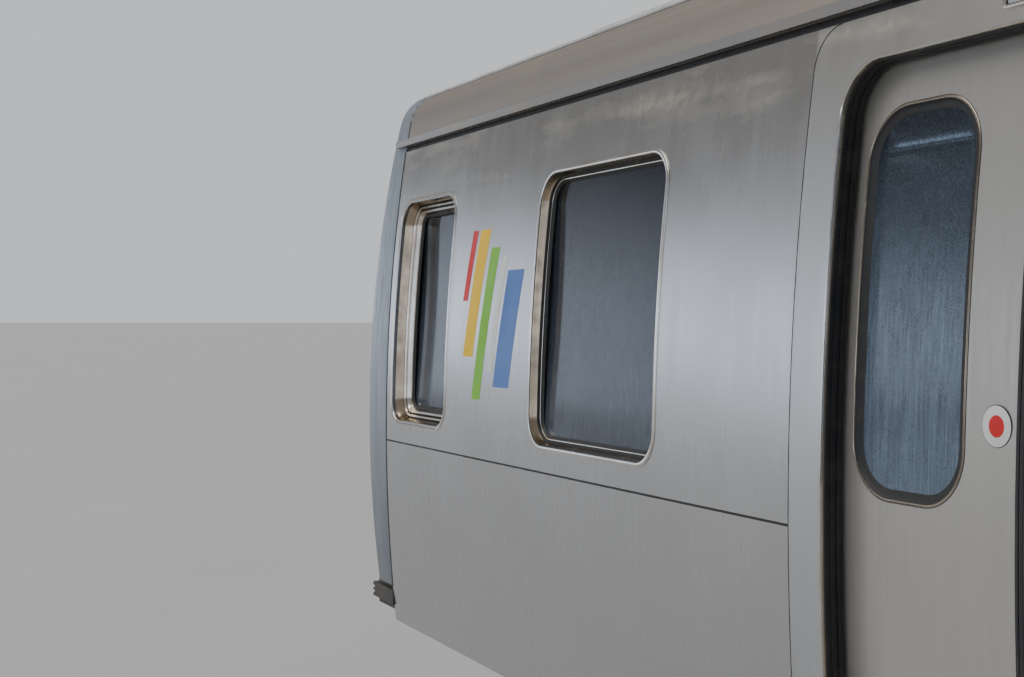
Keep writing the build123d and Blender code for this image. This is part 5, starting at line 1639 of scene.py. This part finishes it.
class METRO_OT_truck_fittings(Operator):
    """Axle box caps, bellows, dampers, ribs and shoe gear on the trucks, bolts on the wheels and couplers"""
    bl_idname = "metro.truck_fittings"
    bl_label = "Running gear fittings"

    def execute(self, context):
        for name, end in ENDS:
            middle, truck = end * TRUCK_X, f"{name}_truck"
            finishes = "cast_iron black_rubber"
            piece(f"{truck}_fittings", finishes, "cast_steel", truck_fittings, middle, body=truck)
            piece(f"{truck}_bellows", "black_rubber", "under_paint", truck_bellows, middle, body=truck)
            for row, way in (("leading", 1), ("trailing", -1)):
                bolts, axle_x = f"{truck}_{row}_wheel_bolts", middle + way * AXLE_FROM_TRUCK
                wheels = f"{truck}_{row}_wheelset"
                piece(bolts, "wheel_steel", "wheel_steel", wheel_bolts, axle_x, body=wheels)
        for name, end in ENDS:
            coupler, finishes = f"{name}_coupler", "coupler_iron case_paint black_rubber"
            piece(f"{coupler}_fittings", finishes, "cast_steel", coupler_fittings, end, body=coupler)
        return {"FINISHED"}


SEAT_ROWS = (
    9.35, 8.6, 7.85, 4.7, 3.95, 3.2, 2.45, 1.7, -1.7, -2.45, -3.2, -3.95, -4.7, -7.85, -8.6, -9.35, -10.1,
)
# Line of a seat shell from its front lip to the top of its back. Columns: forward, height over the floor
SHELL_LINE = (
    (0.222, 0.398), (0.226, 0.425), (0.212, 0.448), (0.15, 0.452), (0.05, 0.444), (-0.05, 0.44),
    (-0.115, 0.45), (-0.145, 0.50), (-0.16, 0.6), (-0.175, 0.72), (-0.192, 0.86), (-0.208, 0.97),
    (-0.222, 1.005), (-0.245, 1.01),
)
SHELL_THICK = 0.012
PAN_POINTS = 6
SEAT_RAIL = ((-0.2, 0.48, 0.93), (-0.245, 0.48, 1.06), (-0.245, 0.8, 1.06), (-0.2, 0.8, 0.93))
SEAT_PAIR = ((0.44, 0.865), (0.865, 1.29))
SEAT_BLOCKS = (
    (-0.17, 0.17, 0.52, 1.28, FLOOR_Z + 0.36, FLOOR_Z + 0.415, 1, 0.006),
    (-0.11, 0.11, 0.99, 1.23, FLOOR_Z, FLOOR_Z + 0.37, 1, 0.006),
)
DRIVER_X = 10.25
DRIVER_FOOT = ((-0.11, 0.11, -0.96, -0.74, FLOOR_Z, FLOOR_Z + 0.41, 1, 0.02),)
RAIL_RUNS = ((7.32, 9.72), (0.9, 5.52), (-5.52, -0.9), (-10.7, -7.32))
RAIL_Y = 0.5
RAIL_Z = 3.02
LIGHTS_X = spread(-10.6, 7.25, 7)
LIGHT = ((0, 2.45, 0.72, 0.9, GUTTER_Z - 0.025, GUTTER_Z + 0.0015, 0, 0.004),)
CAB_LIGHT_X = 10.3
CAB_LIGHT = ((-0.32, 0.32, -0.2, 0.2, GUTTER_Z - 0.025, GUTTER_Z + 0.0015, 0, 0.004),)
DOOR_HEAD = ((-0.86, 0.86, 1.1, 1.292, 3.223, GUTTER_Z - 0.001, 0, 0.012),)
DESK_X = 10.62
# Columns: Y, width
CONSOLES = ((-1.1, 0.24), (-0.76, 0.3))
# Columns: ahead, height over the floor
CONSOLE = ((0.06, 0.815), (0.05, 0.83), (0.2, 0.885), (0.21, 0.87))
LEVERS_Y = (-1.2, -0.55)
KNOB = ((0, 0.012), (0.01, 0.022), (0.03, 0.024), (0.045, 0.014), (0.048, 0.0))


def seat_shell_at(bm, x, y0, y1):
    """One moulded shell: a dished pan that turns up into a back, closed all round."""
    last = len(SHELL_LINE) - 1
    fronts, backs = [], []
    for n, (ahead, up) in enumerate(SHELL_LINE):
        run = run_at(SHELL_LINE, n)
        normal = Vector((run.y, -run.x))
        if n >= PAN_POINTS:
            normal.x = abs(normal.x)
        elif normal.y < 0:
            normal.negate()
        rim = min(n, last - n, 4) / 4
        pull = 0.03 * (1 - rim) ** 2
        front, back = [], []
        for t in spread(-1, 1, 10):
            dish = 0.020 * rim * (1 - t * t) - 0.012 * (abs(t) ** 6) * rim
            y = (y0 + y1) / 2 + t * ((y1 - y0) / 2 - 0.006 - pull * abs(t) ** 3)
            for row, sunk in ((front, dish), (back, dish + SHELL_THICK)):
                row.append(Vector((x + ahead - normal.x * sunk, y, FLOOR_Z + up - normal.y * sunk)))
        fronts.append(front)
        backs.append(back)
    skin_between(bm, [*zip(*fronts), *reversed(list(zip(*backs)))])


def moulded_seats(bm):
    """Seats in pairs on both sides with their feet and rails, and the one in the cab."""
    for x, side in product(SEAT_ROWS, SIDES):
        for a, b in SEAT_PAIR:
            seat_shell_at(bm, x, *sorted((side * a, side * b)))
        blocks(bm, SEAT_BLOCKS, x, side)
        tube(bm, bend([(x + a, side * y, FLOOR_Z + z) for a, y, z in SEAT_RAIL], 0.03), 0.013, 2, 10)
    seat_shell_at(bm, DRIVER_X, -1.08, -0.62)
    blocks(bm, DRIVER_FOOT, DRIVER_X, 1)


def ceiling_rails(bm):
    for side, (a, b) in product(SIDES, RAIL_RUNS):
        tube(bm, [(x, side * RAIL_Y, RAIL_Z) for x in spread(a, b, 2)], 0.016)
        for x in spread(a + 0.1, b - 0.1, 3):
            tube(bm, [(x, side * RAIL_Y, z) for z in (RAIL_Z, GUTTER_Z + 0.002)], 0.012, 0, 10)


def ceiling_lights(bm):
    for side, x in product(SIDES, LIGHTS_X):
        blocks(bm, LIGHT, x, side)
    blocks(bm, CAB_LIGHT, CAB_LIGHT_X, 1)


def window_surrounds(bm):
    """Frames inside the windows, and boxed heads over the doorways."""
    for (x, half, deep), side in product(SIDE_WINDOWS, SIDES):
        outline = rounded(x - half, x + half, WINDOW_LOW, WINDOW_TOP, WINDOW_R, 8, 4)
        framed(bm, on_lining(side), outline, LINING_FRAME)
    for x, side in product(DOOR_X, SIDES):
        blocks(bm, DOOR_HEAD, x, side)


def desk_controls(bm):
    """Two leaning consoles and two levers with knobs."""
    for y, wide in CONSOLES:
        def on_desk(t, ahead, up):
            return Vector((DESK_X + ahead, y + wide * t, FLOOR_Z + up))

        strip(bm, on_desk, (-0.5, 0.5), CONSOLE)
    for y in LEVERS_Y:
        tube(bm, [(10.7, y, FLOOR_Z + 0.8), (10.69, y, FLOOR_Z + 0.94)], 0.012, 1)
        turned(bm, (10.69, y, FLOOR_Z + 0.93), UP, KNOB, 20)


class METRO_OT_cabin(Operator):
    """Moulded seats, rails, lights, window surrounds and the driver's place"""
    bl_idname = "metro.cabin"
    bl_label = "Cabin"

    def execute(self, context):
        seats = piece("moulded_seats", "seat_shell case_paint chrome", "seat_shell", moulded_seats)
        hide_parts("seats")
        piece("ceiling_rails", "chrome", "rail_chrome", ceiling_rails)
        piece("ceiling_lights", "light_panel", "lining", ceiling_lights)
        piece("window_surrounds", "wall_lining", "lining", window_surrounds)
        piece("desk_controls", "screen_border chrome", "desk_plastic", desk_controls)
        return {"FINISHED"}


# Bands of the sky. Columns: height, red, green, blue
SKY_BANDS = (
    (0.0, 0.76, 0.85, 1.0), (0.07, 0.74, 0.83, 0.99), (0.17, 0.12, 0.12, 0.125), (1.0, 0.185, 0.185, 0.185),
)
BACKDROP = (0.31, 0.32, 0.33, 1)


def soft_sky(strength):
    """A world that lights softly from low all round, and shows the eye a plain grey."""
    world = bpy.data.worlds.new("soft_light")
    world.use_nodes = True
    nodes, link = world.node_tree.nodes, world.node_tree.links.new
    back = nodes["Background"]
    back.inputs["Strength"].default_value = strength
    where, split = nodes.new("ShaderNodeTexCoord"), nodes.new("ShaderNodeSeparateXYZ")
    canopy, seen = nodes.new("ShaderNodeValToRGB"), nodes.new("ShaderNodeLightPath")
    pick = nodes.new("ShaderNodeMix")
    pick.data_type = "RGBA"
    link(where.outputs["Generated"], split.inputs["Vector"])
    link(split.outputs["Z"], canopy.inputs["Fac"])
    link(seen.outputs["Is Camera Ray"], pick.inputs[0])
    link(canopy.outputs["Color"], pick.inputs[6])
    pick.inputs[7].default_value = BACKDROP
    link(pick.outputs[2], back.inputs["Color"])
    ramp = canopy.color_ramp
    while len(ramp.elements) < len(SKY_BANDS):
        ramp.elements.new(0.5)
    for stop, (height, *colour) in zip(ramp.elements, SKY_BANDS):
        stop.position = height
        stop.color = (*colour, 1)
    return world


def placed(name, data, look, place=(0, 0, 0)):
    """A light or camera that looks one way."""
    made = bpy.data.objects.new(name, data)
    bpy.context.scene.collection.objects.link(made)
    made.location = place
    made.rotation_mode = "QUATERNION"
    made.rotation_quaternion = Vector(look).to_track_quat("-Z", "Y")
    return made


class METRO_OT_studio(Operator):
    """The floor, the soft light and the camera at the photograph's angle"""
    bl_idname = "metro.studio"
    bl_label = "Stage and camera"

    def execute(self, context):
        studio = context.scene.metro_studio
        bm = bmesh.new()
        bmesh.ops.create_grid(bm, x_segments=8, y_segments=8, size=FLOOR_HALF)
        mesh = bpy.data.meshes.new("studio_floor")
        bm.to_mesh(mesh)
        bm.free()
        floor = bpy.data.objects.new("studio_floor", mesh)
        mesh.materials.append(FINISHES["studio_floor"]())
        context.scene.collection.objects.link(floor)
        floor.location = (0, 0, LOW.z - 0.001)
        context.scene.world = soft_sky(studio.sky)
        sun = bpy.data.lights.new("soft_sun", "SUN")
        sun.energy = 1.6
        sun.angle = radians(50)
        sun.color = (1.0, 0.98, 0.95)
        placed("soft_sun", sun, (-0.35, -0.75, -1.0))
        lens = bpy.data.cameras.new("camera")
        lens.lens = studio.lens
        lens.sensor_width = 36.0
        lens.clip_end = 2 * FLOOR_HALF
        look = (cos(studio.turn), -sin(studio.turn), -sin(studio.dip))
        context.scene.camera = placed("camera", lens, look, studio.eye)
        return {"FINISHED"}


STEPS = (
    METRO_OT_finish_solids, METRO_OT_side_window_frames, METRO_OT_doorway_seals, METRO_OT_panel_seams,
    METRO_OT_leaning_stripes, METRO_OT_leaf_trim, METRO_OT_front_trim, METRO_OT_gutters,
    METRO_OT_roof_fittings, METRO_OT_end_fittings, METRO_OT_case_covers, METRO_OT_truck_fittings,
    METRO_OT_cabin, METRO_OT_studio,
)
GROUPS = {"metro_colours": MetroColours, "metro_sizes": MetroSizes, "metro_studio": MetroStudio}


class METRO_PT_steps(Panel):
    """The steps that dress the car, and the values that they use"""
    bl_idname = "METRO_PT_steps"
    bl_label = "Metro car"
    bl_space_type = "VIEW_3D"
    bl_region_type = "UI"
    bl_category = "Metro car"

    def draw(self, context):
        column = self.layout.column()
        for group, kind in GROUPS.items():
            for name in kind.__annotations__:
                column.prop(getattr(context.scene, group), name)
            column.separator()
        for step in STEPS:
            column.operator(step.bl_idname)


CLASSES = (*GROUPS.values(), *STEPS, METRO_PT_steps)


def register():
    for made in CLASSES:
        bpy.utils.register_class(made)
    for name, kind in GROUPS.items():
        setattr(bpy.types.Scene, name, PointerProperty(type=kind))


def unregister():
    for name in GROUPS:
        delattr(bpy.types.Scene, name)
    for made in reversed(CLASSES):
        bpy.utils.unregister_class(made)


def main():
    register()
    for step in STEPS:
        family, name = step.bl_idname.split(".")
        getattr(getattr(bpy.ops, family), name)()


if __name__ == "__main__":
    main()
